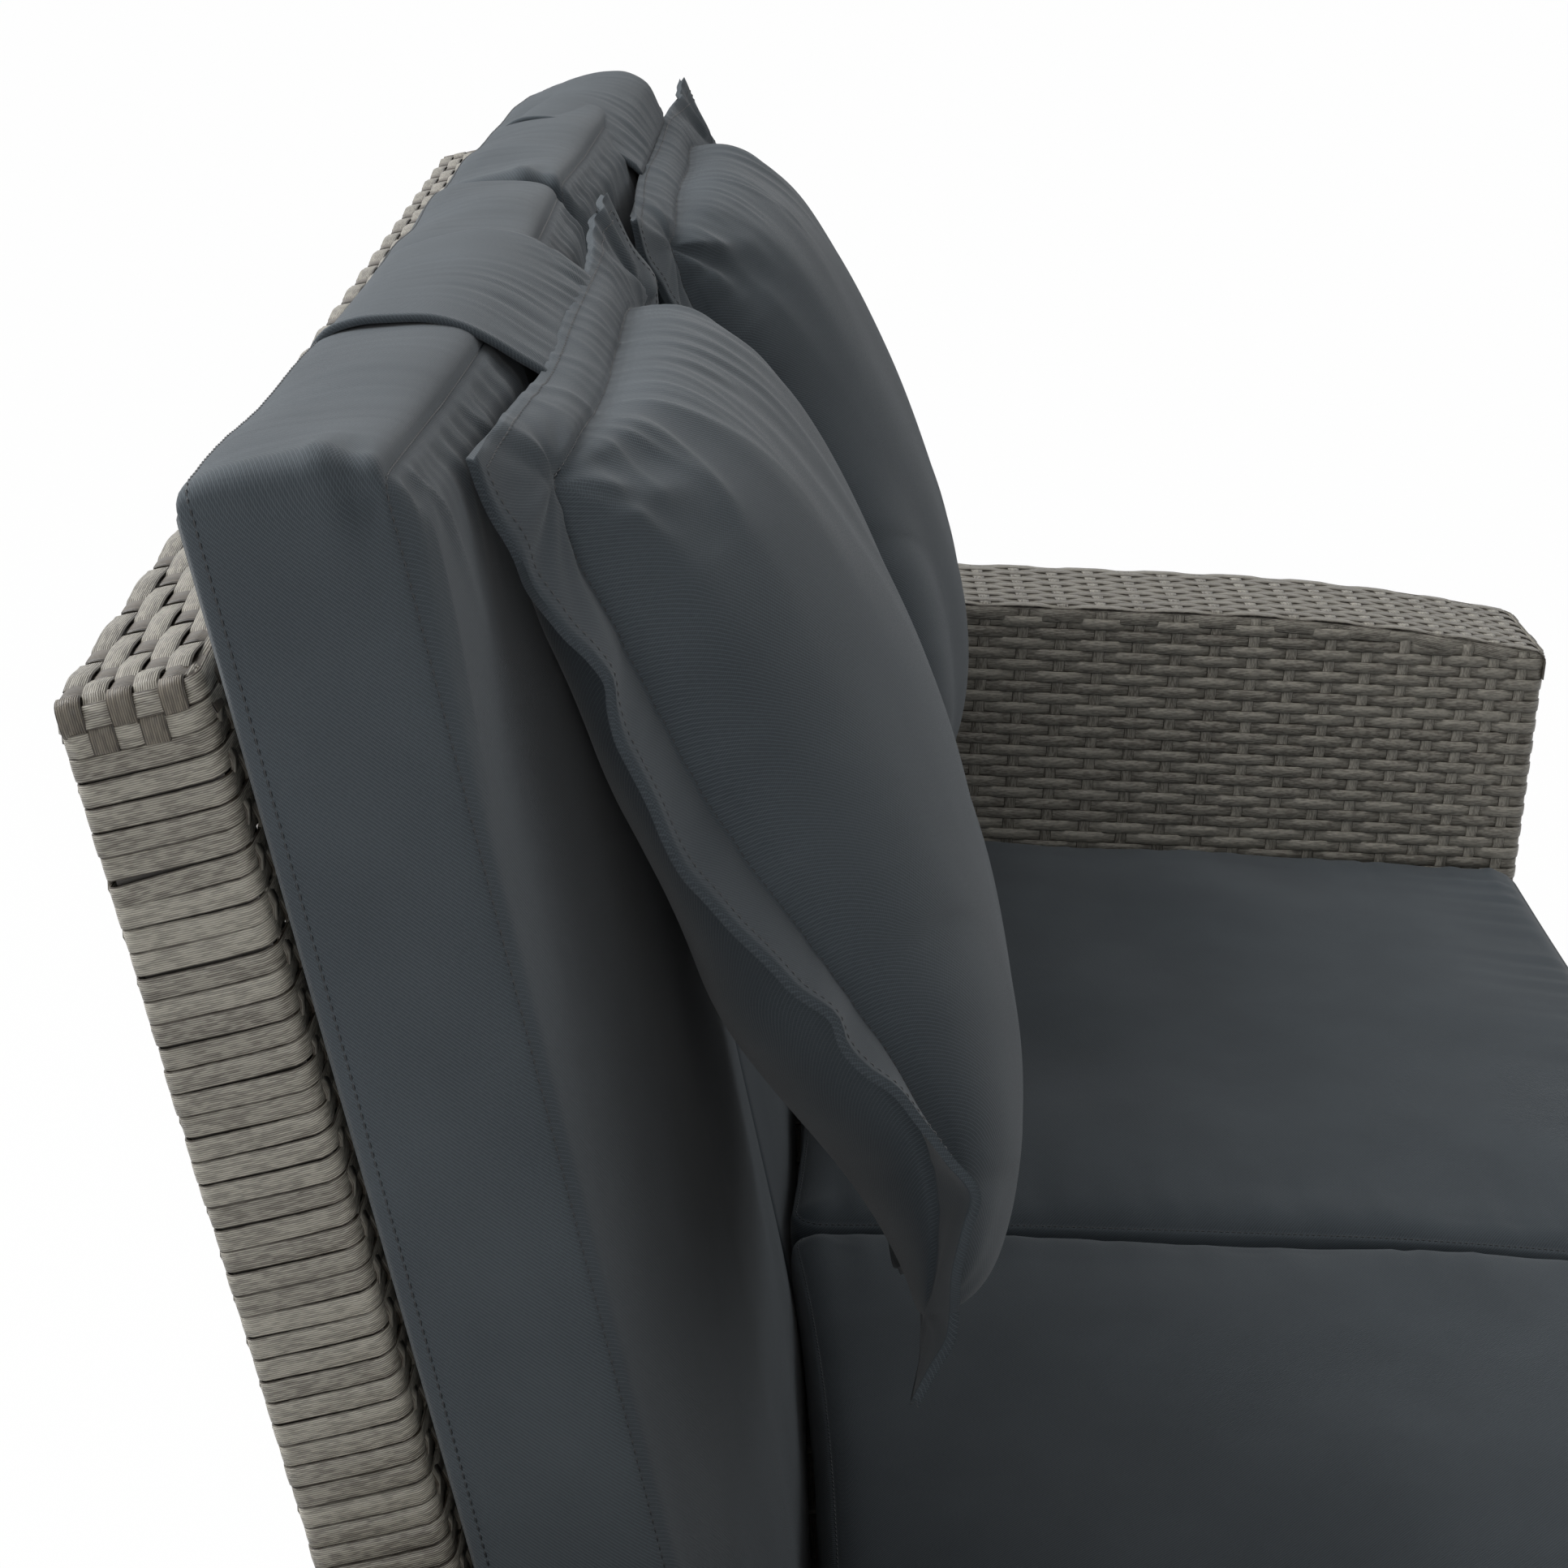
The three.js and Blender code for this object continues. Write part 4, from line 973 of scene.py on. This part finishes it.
def back_cushion(end):
    """A back cushion standing on the deck, gathered below its front top seam."""
    side = SIDES[end]
    rear, front = CUSHION_SEAMS
    boxing = front - rear
    middle_depth = (rear + front) / 2
    middle_rise = (CUSHION_LOW + CUSHION_TOP) / 2
    half_b = (CUSHION_TOP - CUSHION_LOW) / 2
    knots, _, sag = CUSHION_TIP[end] * MM

    def place(a, b, height):
        a, b, height = np.broadcast_arrays(a, b, height)
        rise = middle_rise + b
        depth = middle_depth + height + cushion_lean(end, a, rise)
        top = ease(rise, -60 * MM, 50 * MM)
        rise = rise - smooth_curve(knots, sag, np.clip(a, -CUSHION_HALF, CUSHION_HALF)) * top
        rise = rise + 3 * MM * top * (1 - fade(height, -0.5 * boxing, 0))
        rise = rise - 3 * MM * top * fade(height, 0, 0.5 * boxing) * fade(a, -280 * MM, -180 * MM)
        return on_back(side * CUSHION_MIDDLE + a, depth, rise)

    def extra(a, b, near):
        from_top = half_b - b
        fold = tucks(a, from_top, 5 + side, CUSHION_HALF, 10 * MM, 24 * MM)
        fold = fold - 0.4 * np.exp(-(from_top / (20 * MM)) ** 2)
        fullness = ease(from_top, 1 * MM, 20 * MM) * (1 - ease(from_top, 26 * MM, 130 * MM))
        drawn_in = 2.6 * MM * fold + 5 * MM * fullness
        return drawn_in * fade(from_top, 0, 5 * MM) * fade(near, 0, 12 * MM)

    def dent(a, b, level):
        spot = np.exp(-((b - half_b + 5 * MM) / (7 * MM)) ** 2 - ((level - 0.74) / 0.14) ** 2)
        ridge = np.exp(-((b - half_b + 6 * MM) / (12 * MM)) ** 2 - ((level - 0.46) / 0.12) ** 2)
        return (4.6 * spot - 2.2 * ridge) * MM * np.exp(-((a + CUSHION_HALF) / (20 * MM)) ** 2)

    def side_folds(a, b, level):
        at_top = fade(b, half_b - 14 * MM, half_b - 2 * MM)
        return 0.15 * MM * gathers(a - 12 * MM * level, 44 + side, 19 * MM) * at_top

    piece, seam = boxed_cushion(f"slate_back_cushion_{end}", place, CUSHION_HALF, half_b, boxing, {
        "drawn": 1.5 * MM, "puff": (3.2 * MM, 2 * MM), "roll": 1.8 * MM, "crown": (12 * MM, 1 * MM),
        "corner": (8 * MM, 4 * MM if end == "near" else 9 * MM), "cells": (230, 70), "crowding": 0.25,
        "bulge": 4 * MM, "top_bulge": 12.5 * MM, "seed": 60 + side, "extra": extra, "dent": dent,
        "side_folds": side_folds})
    for made in (piece, seam):
        dress(made, f"back_cushion_{end}")
    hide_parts(f"back_cushion_{end}")


SEAT_BOXING = 84 * MM


def seat_cushion(end):
    """A seat cushion on the deck, between an arm and its neighbour, pushed up against the back cushion."""
    side = SIDES[end]
    low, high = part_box(f"seat_cushion_{end}")
    half_a = (high[0] - low[0]) / 2 - 6 * MM
    half_b = (high[1] - low[1]) / 2 - 6 * MM
    middle = ((low[0] + high[0]) / 2, (low[1] + high[1]) / 2)
    level = low[2] + 3.5 * MM + SEAT_BOXING / 2

    def place(a, b, height):
        a, b, height = np.broadcast_arrays(a, b, height)
        rear = ease(b, 0, half_b)
        upper = fade(height, -0.5 * SEAT_BOXING, 0.5 * SEAT_BOXING)
        y = middle[1] + b + rear * upper * (3 * MM + 12 * MM * np.clip(np.abs(a) / half_a, 0, 1) ** 2.5)
        sink = 7 * MM * ease(-b, 0.1 * half_b, half_b) + 3 * MM * ease(b, 0.5 * half_b, half_b)
        return stacked(middle[0] + a, y, np.maximum(level + height - sink * upper, low[2]))

    def extra(a, b, near):
        from_front = half_b + b
        fold = gathers(a, 35 + side, 31 * MM) * np.exp(-(from_front / (60 * MM)) ** 2)
        from_side = half_a - np.abs(a)
        side_fold = gathers(b, 38 + side, 37 * MM) * np.exp(-(from_side / (50 * MM)) ** 2)
        hollow = np.exp(-((a * side + 40 * MM) / (150 * MM)) ** 2 - ((b - 90 * MM) / (110 * MM)) ** 2)
        slow = ripple(a, b, 90 + side, 5)
        return (1.3 * MM * (fold + side_fold) + 1.6 * MM * slow - 5 * MM * hollow) * fade(near, 0, 16 * MM)

    piece, seam = boxed_cushion(f"slate_seat_cushion_{end}", place, half_a, half_b, SEAT_BOXING, {
        "drawn": 3 * MM, "puff": (9 * MM, 1 * MM), "roll": 8 * MM, "crown": (5 * MM, 0.5 * MM),
        "corner": (16 * MM, 16 * MM), "cells": (100, 100), "crowding": 0.8,
        "bulge": 5.5 * MM, "top_bulge": 5.5 * MM, "seed": 80 + side, "extra": extra})
    for made in (piece, seam):
        dress(made, f"seat_cushion_{end}")
    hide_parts(f"seat_cushion_{end}")


def smooth_curve(knots, values, at):
    """A smooth curve through values at knots, read at the given places."""
    knots, values = np.asarray(knots, float), np.asarray(values, float)
    slopes = np.gradient(values, knots, axis=0)
    index = np.clip(np.searchsorted(knots, at) - 1, 0, len(knots) - 2)
    width = knots[index + 1] - knots[index]
    share = (at - knots[index]) / width
    shape = share.shape + (1,) * (values.ndim - 1)
    share, width = share.reshape(shape), width.reshape(shape)
    square, cube = share ** 2, share ** 3
    return ((2 * cube - 3 * square + 1) * values[index] + (cube - 2 * square + share) * width * slopes[index]
            + (3 * square - 2 * cube) * values[index + 1] + (cube - square) * width * slopes[index + 1])


def by_length(points, at):
    """A polyline of (across, depth, rise) in millimetres, read at shares 0 to 1 of its own length."""
    points = np.array(points, float) * MM
    length = path_length(points)
    return smooth_curve(length / length[-1], points, at)


def beside_cushion(end, places):
    """World places of points given as (across, depth, rise) from a back cushion's middle."""
    across, depth, rise = np.moveaxis(places, -1, 0)
    return on_back(SIDES[end] * CUSHION_MIDDLE + across, depth, rise)


def unit_normals(grid, check):
    """Unit normals of a grid of places, turned so that the component at check is positive."""
    normal = np.cross(np.gradient(grid, axis=0), np.gradient(grid, axis=1))
    normal /= np.linalg.norm(normal, axis=-1, keepdims=True)
    return normal * np.sign(normal[check])


def closed_sheets(front, back, cloth, lip, length):
    """A front and a back grid and the lip that joins their rims, each with its flat cloth measure."""
    run = stacked(np.linspace(0, length, lip.shape[1]), 0)
    lip_cloth = np.array([run + [0, down] for down in np.linspace(0, 2 * MM, len(lip))])
    return [(front, cloth, False), (back, cloth + 1, True), (lip, lip_cloth, True)]


PILLOW_HALF = 230 * MM
PILLOW_RISE = 205 * MM
PILLOW_SWELL = 58 * MM
FLANGE = 40 * MM
SEAM_U, SEAM_V = 1 - FLANGE / PILLOW_HALF, 1 - FLANGE / PILLOW_RISE
# Half of the flange's thickness
FLANGE_SKIN = 1.6 * MM
# At each corner of a pillow's seam: its side and end, its creases' height and size, and their turn
PUCKERS = [((-1, 1), 4.4 * MM, 20 * MM, 1.4), ((1, 1), 7 * MM, 20 * MM, 2.2),
           ((-1, -1), 1.6 * MM, 16 * MM, 0.3), ((1, -1), 1.6 * MM, 16 * MM, 4.1)]
# Nearer than this the back of a pillow is pressed flat against its cushion
PRESSED = 6 * MM
# The depth of a back cushion's front at its rim, and how much fuller it stands in its middle
CUSHION_FRONT, CUSHION_CROWN = 118 * MM, 13 * MM

# (share across, lower flange, body, upper flange); each line runs upwards as (across, depth, rise) in mm
NEAR_PILLOW = [
    (-1.0,
     [(-227, 201, -331), (-227, 210, -319), (-228, 219, -307), (-228, 222, -296)],
     [(-228, 222, -296), (-228, 226, -281), (-229, 233, -264), (-230, 238, -252), (-229, 231, -237),
      (-228, 224, -222), (-228, 218, -209), (-228, 209, -199), (-228, 204, -189), (-228, 203, -179),
      (-228, 193, -167), (-228, 185, -153), (-228, 178, -142), (-228, 170, -127), (-228, 166, -120),
      (-229, 162, -106), (-229, 160, -93), (-229, 157, -80), (-229, 154, -67), (-229, 154, -57),
      (-229, 155, -47), (-230, 152, -39), (-230, 145, -28), (-230, 140, -15), (-230, 137, -4)],
     [(-230, 137, -4), (-231, 133, 9), (-231, 131, 22), (-232, 130, 34)]),
    (-SEAM_U,
     [(-190, 207, -331), (-190, 212, -318)],
     [(-190, 212, -318), (-190, 221, -290), (-190, 225, -255), (-190, 219, -225), (-190, 208, -195),
      (-190, 196, -165), (-190, 183, -135), (-190, 172, -105), (-190, 163, -70), (-190, 155, -35),
      (-190, 149, -8), (-189, 149, 12)],
     [(-189, 149, 12), (-191, 143, 24), (-193, 134, 34)]),
    (-0.42,
     [(-92, 204, -349), (-93, 210, -366)],
     [(-93, 210, -366), (-95, 211, -340), (-95, 210, -280), (-95, 205, -215), (-95, 197, -155),
      (-95, 186, -105), (-94, 174, -55), (-93, 164, -15), (-92, 159, 14)],
     [(-92, 159, 14), (-92, 151, 23), (-92, 141, 28)]),
    (0.0,
     [(0, 192, -400), (0, 205, -388)],
     [(0, 205, -388), (0, 208, -340), (0, 208, -270), (0, 204, -205), (0, 197, -150), (0, 187, -100),
      (0, 176, -50), (0, 166, -12), (0, 161, 14)],
     [(0, 161, 14), (0, 154, 25), (0, 145, 31)]),
    (0.4,
     [(92, 192, -400), (92, 205, -388)],
     [(92, 205, -388), (92, 208, -340), (92, 208, -270), (92, 203, -205), (92, 196, -150), (92, 186, -105),
      (92, 175, -60), (91, 166, -18), (90, 162, 13)],
     [(90, 162, 13), (90, 157, 25), (88, 149, 33)]),
    (SEAM_U,
     [(186, 200, -385), (188, 208, -355)],
     [(188, 208, -355), (189, 210, -310), (190, 208, -250), (190, 203, -195), (190, 194, -145),
      (190, 184, -100), (188, 174, -60), (184, 166, -25), (176, 166, 0)],
     [(176, 166, 0), (172, 158, 22), (168, 152, 44)]),
    (1.0,
     [(224, 202, -375), (228, 212, -345)],
     [(228, 212, -345), (230, 214, -300), (230, 213, -240), (230, 207, -190), (229, 198, -140),
      (227, 188, -95), (222, 178, -55), (214, 170, -20), (206, 166, 6)],
     [(206, 166, 6), (204, 160, 26), (198, 156, 48)]),
]

# Grid lines from a pillow's edge to its hem's stitches and to the seam of its body
PILLOW_STITCHES = (2, 12)


def corner_pucker(x, rise, corner, size, seed):
    """Creases that fan out from a stitched corner, round the dimple at the stitch."""
    run, climb = x - corner[0], rise - corner[1]
    distance, angle = np.hypot(run, climb), np.arctan2(climb, run)
    fan = 0.6 * np.sin(5 * angle + seed) + 0.4 * np.sin(9 * angle + 2 * seed)
    dimple = np.exp(-(distance / (0.45 * size)) ** 2)
    return fan * distance / size * np.exp(1 - distance / size) - 1.1 * dimple


def pillow_sheets(end, seed, wall):
    """A pillow's front, back and lip as grids, its flanged middle sheet swollen both ways, and its seams.

    wall gives the depth of the cushion behind it at a place across and in rise."""
    body_u, body_v = spread(173, 0.4), spread(113, 0.7)
    outer = np.linspace(0, 1, 13)[:-1]
    u_line, v_line = (
        np.concatenate([-1 + outer * (1 - seam), body * seam, 1 - outer[::-1] * (1 - seam)])
        for body, seam in ((body_u, SEAM_U), (body_v, SEAM_V)))
    places = np.array([np.concatenate([
        by_length(low, outer), by_length(mid, (body_v + 1) / 2), by_length(high, 1 - outer[::-1])])
        for _, low, mid, high in PILLOW_NETS[end]])
    middle = smooth_curve([knot for knot, *_ in PILLOW_NETS[end]], places, u_line).transpose(1, 0, 2)
    u, v = np.meshgrid(u_line, v_line)
    normal = unit_normals(middle, (60, 60, 1))
    inner_a, inner_b = np.clip(np.abs(u) / SEAM_U, 0, 1), np.clip(np.abs(v) / SEAM_V, 0, 1)
    swell = ((1 - inner_a ** 3) * (1 - inner_b ** 5)) ** 0.5
    front_full = PILLOW_SWELL * swell * (1 - 0.28 * ease(-v, 0.25, 0.9) - 0.1 * ease(v, 0.3, 0.9))
    back_full = PILLOW_SWELL * swell * (1 - 0.72 * ease(-v, 0.1, 0.75))
    from_side = (SEAM_U - np.abs(u)) * PILLOW_HALF
    from_end = (SEAM_V - np.abs(v)) * PILLOW_RISE
    x, rise = u * PILLOW_HALF, v * PILLOW_RISE
    top_half = fade(v, -0.2, 0.5)
    short_fold = tucks(x, from_end, seed, PILLOW_HALF, 11 * MM, 26 * MM) * top_half
    long_fold = tucks(x, from_end, seed + 1, PILLOW_HALF, 30 * MM, 60 * MM, 0.2) * top_half
    flange_fold = tucks(x, 0.3 * from_end, seed + 2, PILLOW_HALF, 13 * MM, 40 * MM, 0.8) * top_half
    seam_line = np.exp(-(from_end / (1.9 * MM)) ** 2) * (from_side > 0) * (v > 0)
    end_fold = np.where(from_end > 0, 2.2 * short_fold + 2.3 * long_fold, 2.1 * flange_fold)
    side_fold = gathers(rise, seed + 3, 23 * MM) * np.exp(-(from_side / (28 * MM)) ** 2)
    folds = MM * end_fold * ease(1 - inner_a, 0, 0.08) + 0.8 * MM * side_fold * ease(1 - inner_b, 0, 0.1)
    folds = folds - 2.6 * MM * seam_line
    seam_corner = np.array([SEAM_U * PILLOW_HALF, SEAM_V * PILLOW_RISE])
    for corner, height, size, turn in PUCKERS:
        folds = folds + height * corner_pucker(x, rise, seam_corner * corner, size, seed + turn)
    slow = 1.8 * MM * ripple(x, rise, seed + 9, 6) * swell
    front = middle + normal * (FLANGE_SKIN + front_full + folds * (0.4 + 0.6 * (swell > 0)) + slow)[..., None]
    back = middle - normal * (FLANGE_SKIN + back_full - folds * (swell == 0) * 0.4)[..., None]
    limit = wall(back[..., 0], back[..., 2])
    gap = back[..., 1] - limit
    back[..., 1] = limit + np.where(gap > PRESSED, gap, PRESSED * np.exp(np.minimum(gap / PRESSED - 1, 0)))
    front[..., 1] = np.maximum(front[..., 1], back[..., 1] + 1.5 * MM)
    seams = []
    for inset in PILLOW_STITCHES:
        row, column = (place + inset for place in rim(len(u) - 2 * inset, len(u[0]) - 2 * inset))
        line = front[row, column]
        seams.append((beside_cushion(end, line), beside_cushion(end, line + normal[row, column] * MM)))
    ring = rim(*u.shape)
    inward = middle[np.clip(ring[0], 1, len(u) - 2), np.clip(ring[1], 1, len(u[0]) - 2)] - middle[ring]
    inward /= np.linalg.norm(inward, axis=-1, keepdims=True)
    lip = np.array([front[ring], middle[ring] + inward * 1.8 * MM, back[ring]])
    front, back, lip = (beside_cushion(end, places) for places in (front, back, lip))
    return closed_sheets(front, back, stacked(x, rise), lip, 1.7), seams


# How far each column of the far pillow stands off the near one's, as (depth, rise) at its top and at
# its foot
FAR_SHIFTS = [((23, -25), (11, -20)), ((18, -26), (11, -20)), ((11, -17), (11, -20)), ((13, -17), (20, -16)),
              ((13, -15), (24, -16)), ((20, -20), (44, -8)), ((17, -19), (74, 6))]


def shifted(columns, shifts):
    """A pillow net with each column moved by its own shift, eased from its foot to its top."""
    moved = []
    for (share, *lines), (top, foot) in zip(columns, np.array(shifts)):
        changed = []
        for line in map(np.array, lines):
            level = ease(line[:, 2:], -330, 30)
            changed.append(line + np.insert(foot + (top - foot) * level, 0, 0, axis=1))
        moved.append((share, *changed))
    return moved


PILLOW_NETS = {"near": NEAR_PILLOW, "far": shifted(NEAR_PILLOW, FAR_SHIFTS)}


def pillow(end):
    """A flanged pillow leaning on its back cushion."""

    def cushion_front(a, rise):
        crown = (1 - np.clip(np.abs(a) / CUSHION_HALF, 0, 1) ** 3.2) * ease(-rise, 0, 90 * MM)
        return CUSHION_FRONT + cushion_lean(end, a, rise) + CUSHION_CROWN * crown

    sheets, seams = pillow_sheets(end, 5 if end == "near" else 8, cushion_front)
    piece = cloth_piece(f"slate_pillow_{end}", sheets)
    for made in (piece, stitched(f"slate_pillow_seam_{end}", seams)):
        dress(made, f"pillow_{end}")
    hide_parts(f"pillow_{end}")


# Each flap's near and far edges: their places across, and their paths up the cushion's rear, over its
# top and down to the pillow, as (depth, rise) in millimetres
FLAP = {
    "near": (-90, 79,
             [(49, -110), (50, -60), (53, 0), (56, 28), (60, 44), (65, 53), (71, 57.5), (80, 59),
              (94, 57.6), (108, 54.5), (117, 50), (126, 43), (135, 34.5), (141, 29), (145, 25)],
             [(50, -110), (51, -60), (56, 0), (60, 28), (64, 44), (69, 53), (76, 57), (86, 59), (101, 60),
              (115, 59), (125, 55.5), (133, 50.5), (141, 43), (149, 34), (153, 29)]),
    "far": (-95, 83,
            [(50, -120), (53, -60), (60, 0), (66, 24), (74, 40), (84, 49), (94, 53), (104, 52.5),
             (115, 49), (124, 42.5), (132, 34.5), (141, 26), (150, 17), (154, 12)],
            [(50, -120), (54, -60), (63, -10), (70, 18), (78, 34), (90, 44.5), (102, 50), (113, 52.5),
             (124, 53.5), (136, 53), (148, 49.5), (157, 42), (161, 29), (163, 18)]),
}
FLAP_STEPS = (91, 69)
# Half of the doubled cloth's thickness
FLAP_SKIN = 0.8 * MM


def flap(end):
    """The doubled cloth that hooks the pillow over its cushion, with a rolled hem on its near edge."""
    side = SIDES[end]
    left, right, near_edge, far_edge = FLAP[end]
    knots = np.linspace(0, 1, FLAP_STEPS[0])
    near_line = by_length([(left, *point) for point in near_edge], knots)
    far_line = by_length([(right, *point) for point in far_edge], knots)
    u, row = np.meshgrid(np.linspace(0, 1, FLAP_STEPS[1]), np.arange(FLAP_STEPS[0]))
    share = u[..., None]
    middle = near_line[row] * (1 - share) + far_line[row] * share
    run = path_length(near_line)[row]
    total = run[-1, 0]
    normal = unit_normals(middle, (60, 30, 2))
    across = middle[..., 0]
    free = ease(run, 0.13, 0.17)
    front = ease(run, 0.20, 0.25)
    end_in = fade(total - run, 0, 6 * MM)
    drift = 6 * MM * ripple(run, 0, 4 + side, 5)
    wave = gathers(across * (1 + 0.25 * (1 - front)) + drift, 12 + side, 15 * MM) * 0.45
    wave = wave + tucks(across, total - run, 14 + side, 95 * MM, 13 * MM, 55 * MM, 0.15) * front
    patchy = np.clip(0.6 + 0.5 * ripple(across, run, 17 + side, 11), 0.1, 1.2)
    wave = wave * (0.25 + 1.1 * front) * free * fade(u, 0.0, 0.08) * patchy
    hem = np.exp(-((u - 0.012) / 0.022) ** 2) * free
    lift = (0.9 * MM * wave + 0.9 * MM * hem) * end_in
    upper = beside_cushion(end, middle + normal * (lift + FLAP_SKIN + 0.8 * MM * hem * end_in)[..., None])
    lower = beside_cushion(end, middle + normal * (lift - FLAP_SKIN - 0.5 * MM * hem * end_in)[..., None])
    ring = rim(*u.shape)
    lip = np.array([upper[ring], lower[ring]])
    piece = cloth_piece(f"slate_flap_{end}", closed_sheets(upper, lower, stacked(across, run), lip, 1))
    dress(piece, f"pillow_{end}")
    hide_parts(f"pillow_flap_{end}")


# hard parts

# Finishes by a word in the node's name; the first that fits counts
FINISHES = {"frame": POWDER, "foot": GLIDE, "bolt": ZINC, "washer": ZINC, "bracket": ZINC}


def finish_hard_parts():
    """Gives each carried-over node its own finish."""
    for name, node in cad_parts.items():
        finish = next((finish for word, finish in FINISHES.items() if word in name), None)
        if finish is not None:
            for slot in node.material_slots:
                slot.material = finish


# studio

# Where the lamps are aimed
LIT_MIDDLE = Vector((-0.1, 0.1, 0.6))
# Each lamp's name, place, size and power
LAMPS = [
    ("side", (-2.5, 0.4, 1.5), 1.4, 13),
    ("back_high", (0.2, 2.2, 2.6), 2.0, 68),
    ("back_top", (0.0, 1.3, 3.0), 1.6, 13),
    ("front_far", (1.5, -2.3, 2.3), 1.6, 10.5),
]
# The photograph's camera as it was fitted: focal length and picture width in pixels, place, and yaw,
# pitch and roll
PHOTO_FOCAL, PHOTO_WIDTH = 3629.2, 1932
PHOTO_PLACE = (-1.4326, 0.2059, 1.19)
PHOTO_TURNS = (-0.02844, 0.34163, 0.04942)
WHITE = (1, 1, 1, 1)


def seen_rays(tree):
    """1 for rays from the camera, straight or by way of gloss or glass, and 0 for the rest."""
    path = tree.nodes.new("ShaderNodeLightPath")
    seen = Wire(path.outputs["Is Camera Ray"])
    for kind in ("Glossy", "Transmission"):
        seen = seen.calc("MAXIMUM", Wire(path.outputs[f"Is {kind} Ray"]))
    return seen


def stage_and_light():
    """Pale floor, white surround, soft lamps and the photograph's camera."""
    bpy.ops.mesh.primitive_plane_add(size=60)
    floor = bpy.context.object
    floor.name = "studio_floor"
    material = bpy.data.materials.new("studio_floor")
    material.use_nodes = True
    tree = material.node_tree
    shader = tree.nodes["Principled BSDF"]
    shader.inputs["Base Color"].default_value = (0.8, 0.8, 0.8, 1)
    shader.inputs["Roughness"].default_value = 0.9
    glow = add_node(tree, "ShaderNodeEmission", {"Color": WHITE, "Strength": 1.0})
    shares = {0: seen_rays(tree) * 0.99, 1: Wire(shader.outputs[0]), 2: glow}
    blend = add_node(tree, "ShaderNodeMixShader", shares)
    link(tree.nodes["Material Output"], Surface=blend)
    floor.data.materials.append(material)

    world = bpy.data.worlds.new("studio")
    bpy.context.scene.world = world
    world.use_nodes = True
    background = world.node_tree.nodes["Background"]
    background.inputs["Strength"].default_value = 1.0
    link(background, Color=mixed(seen_rays(world.node_tree), (0.03, 0.03, 0.03, 1), WHITE))

    for name, place, size, power in LAMPS:
        lamp = bpy.data.lights.new(name, "AREA")
        lamp.size = size
        lamp.energy = power
        holder = bpy.data.objects.new(name, lamp)
        holder.location = place
        holder.rotation_euler = (LIT_MIDDLE - Vector(place)).to_track_quat("-Z", "Y").to_euler()
        bpy.context.collection.objects.link(holder)

    camera = bpy.data.cameras.new("photo_view")
    camera.sensor_width = 36
    camera.lens = PHOTO_FOCAL / PHOTO_WIDTH * camera.sensor_width
    camera.clip_start = 0.05
    holder = bpy.data.objects.new("photo_view", camera)
    yaw, pitch, roll = PHOTO_TURNS
    forward = Vector((math.cos(yaw) * math.cos(pitch), math.sin(yaw) * math.cos(pitch), -math.sin(pitch)))
    right = Vector((math.sin(yaw), -math.cos(yaw), 0))
    down = forward.cross(right)
    across = right * math.cos(roll) - down * math.sin(roll)
    under = right * math.sin(roll) + down * math.cos(roll)
    turn = Matrix((across, -under, -forward)).transposed().to_4x4()
    holder.matrix_world = Matrix.Translation(PHOTO_PLACE) @ turn
    bpy.context.collection.objects.link(holder)
    bpy.context.scene.camera = holder
    bpy.context.scene.view_settings.view_transform = "Standard"


stage_and_light()
finish_hard_parts()
back_wicker()
for which in SIDES:
    arm_wicker(which)
apron_wicker()
deck_wicker()
for which in SIDES:
    seat_cushion(which)
    back_cushion(which)
    pillow(which)
    flap(which)
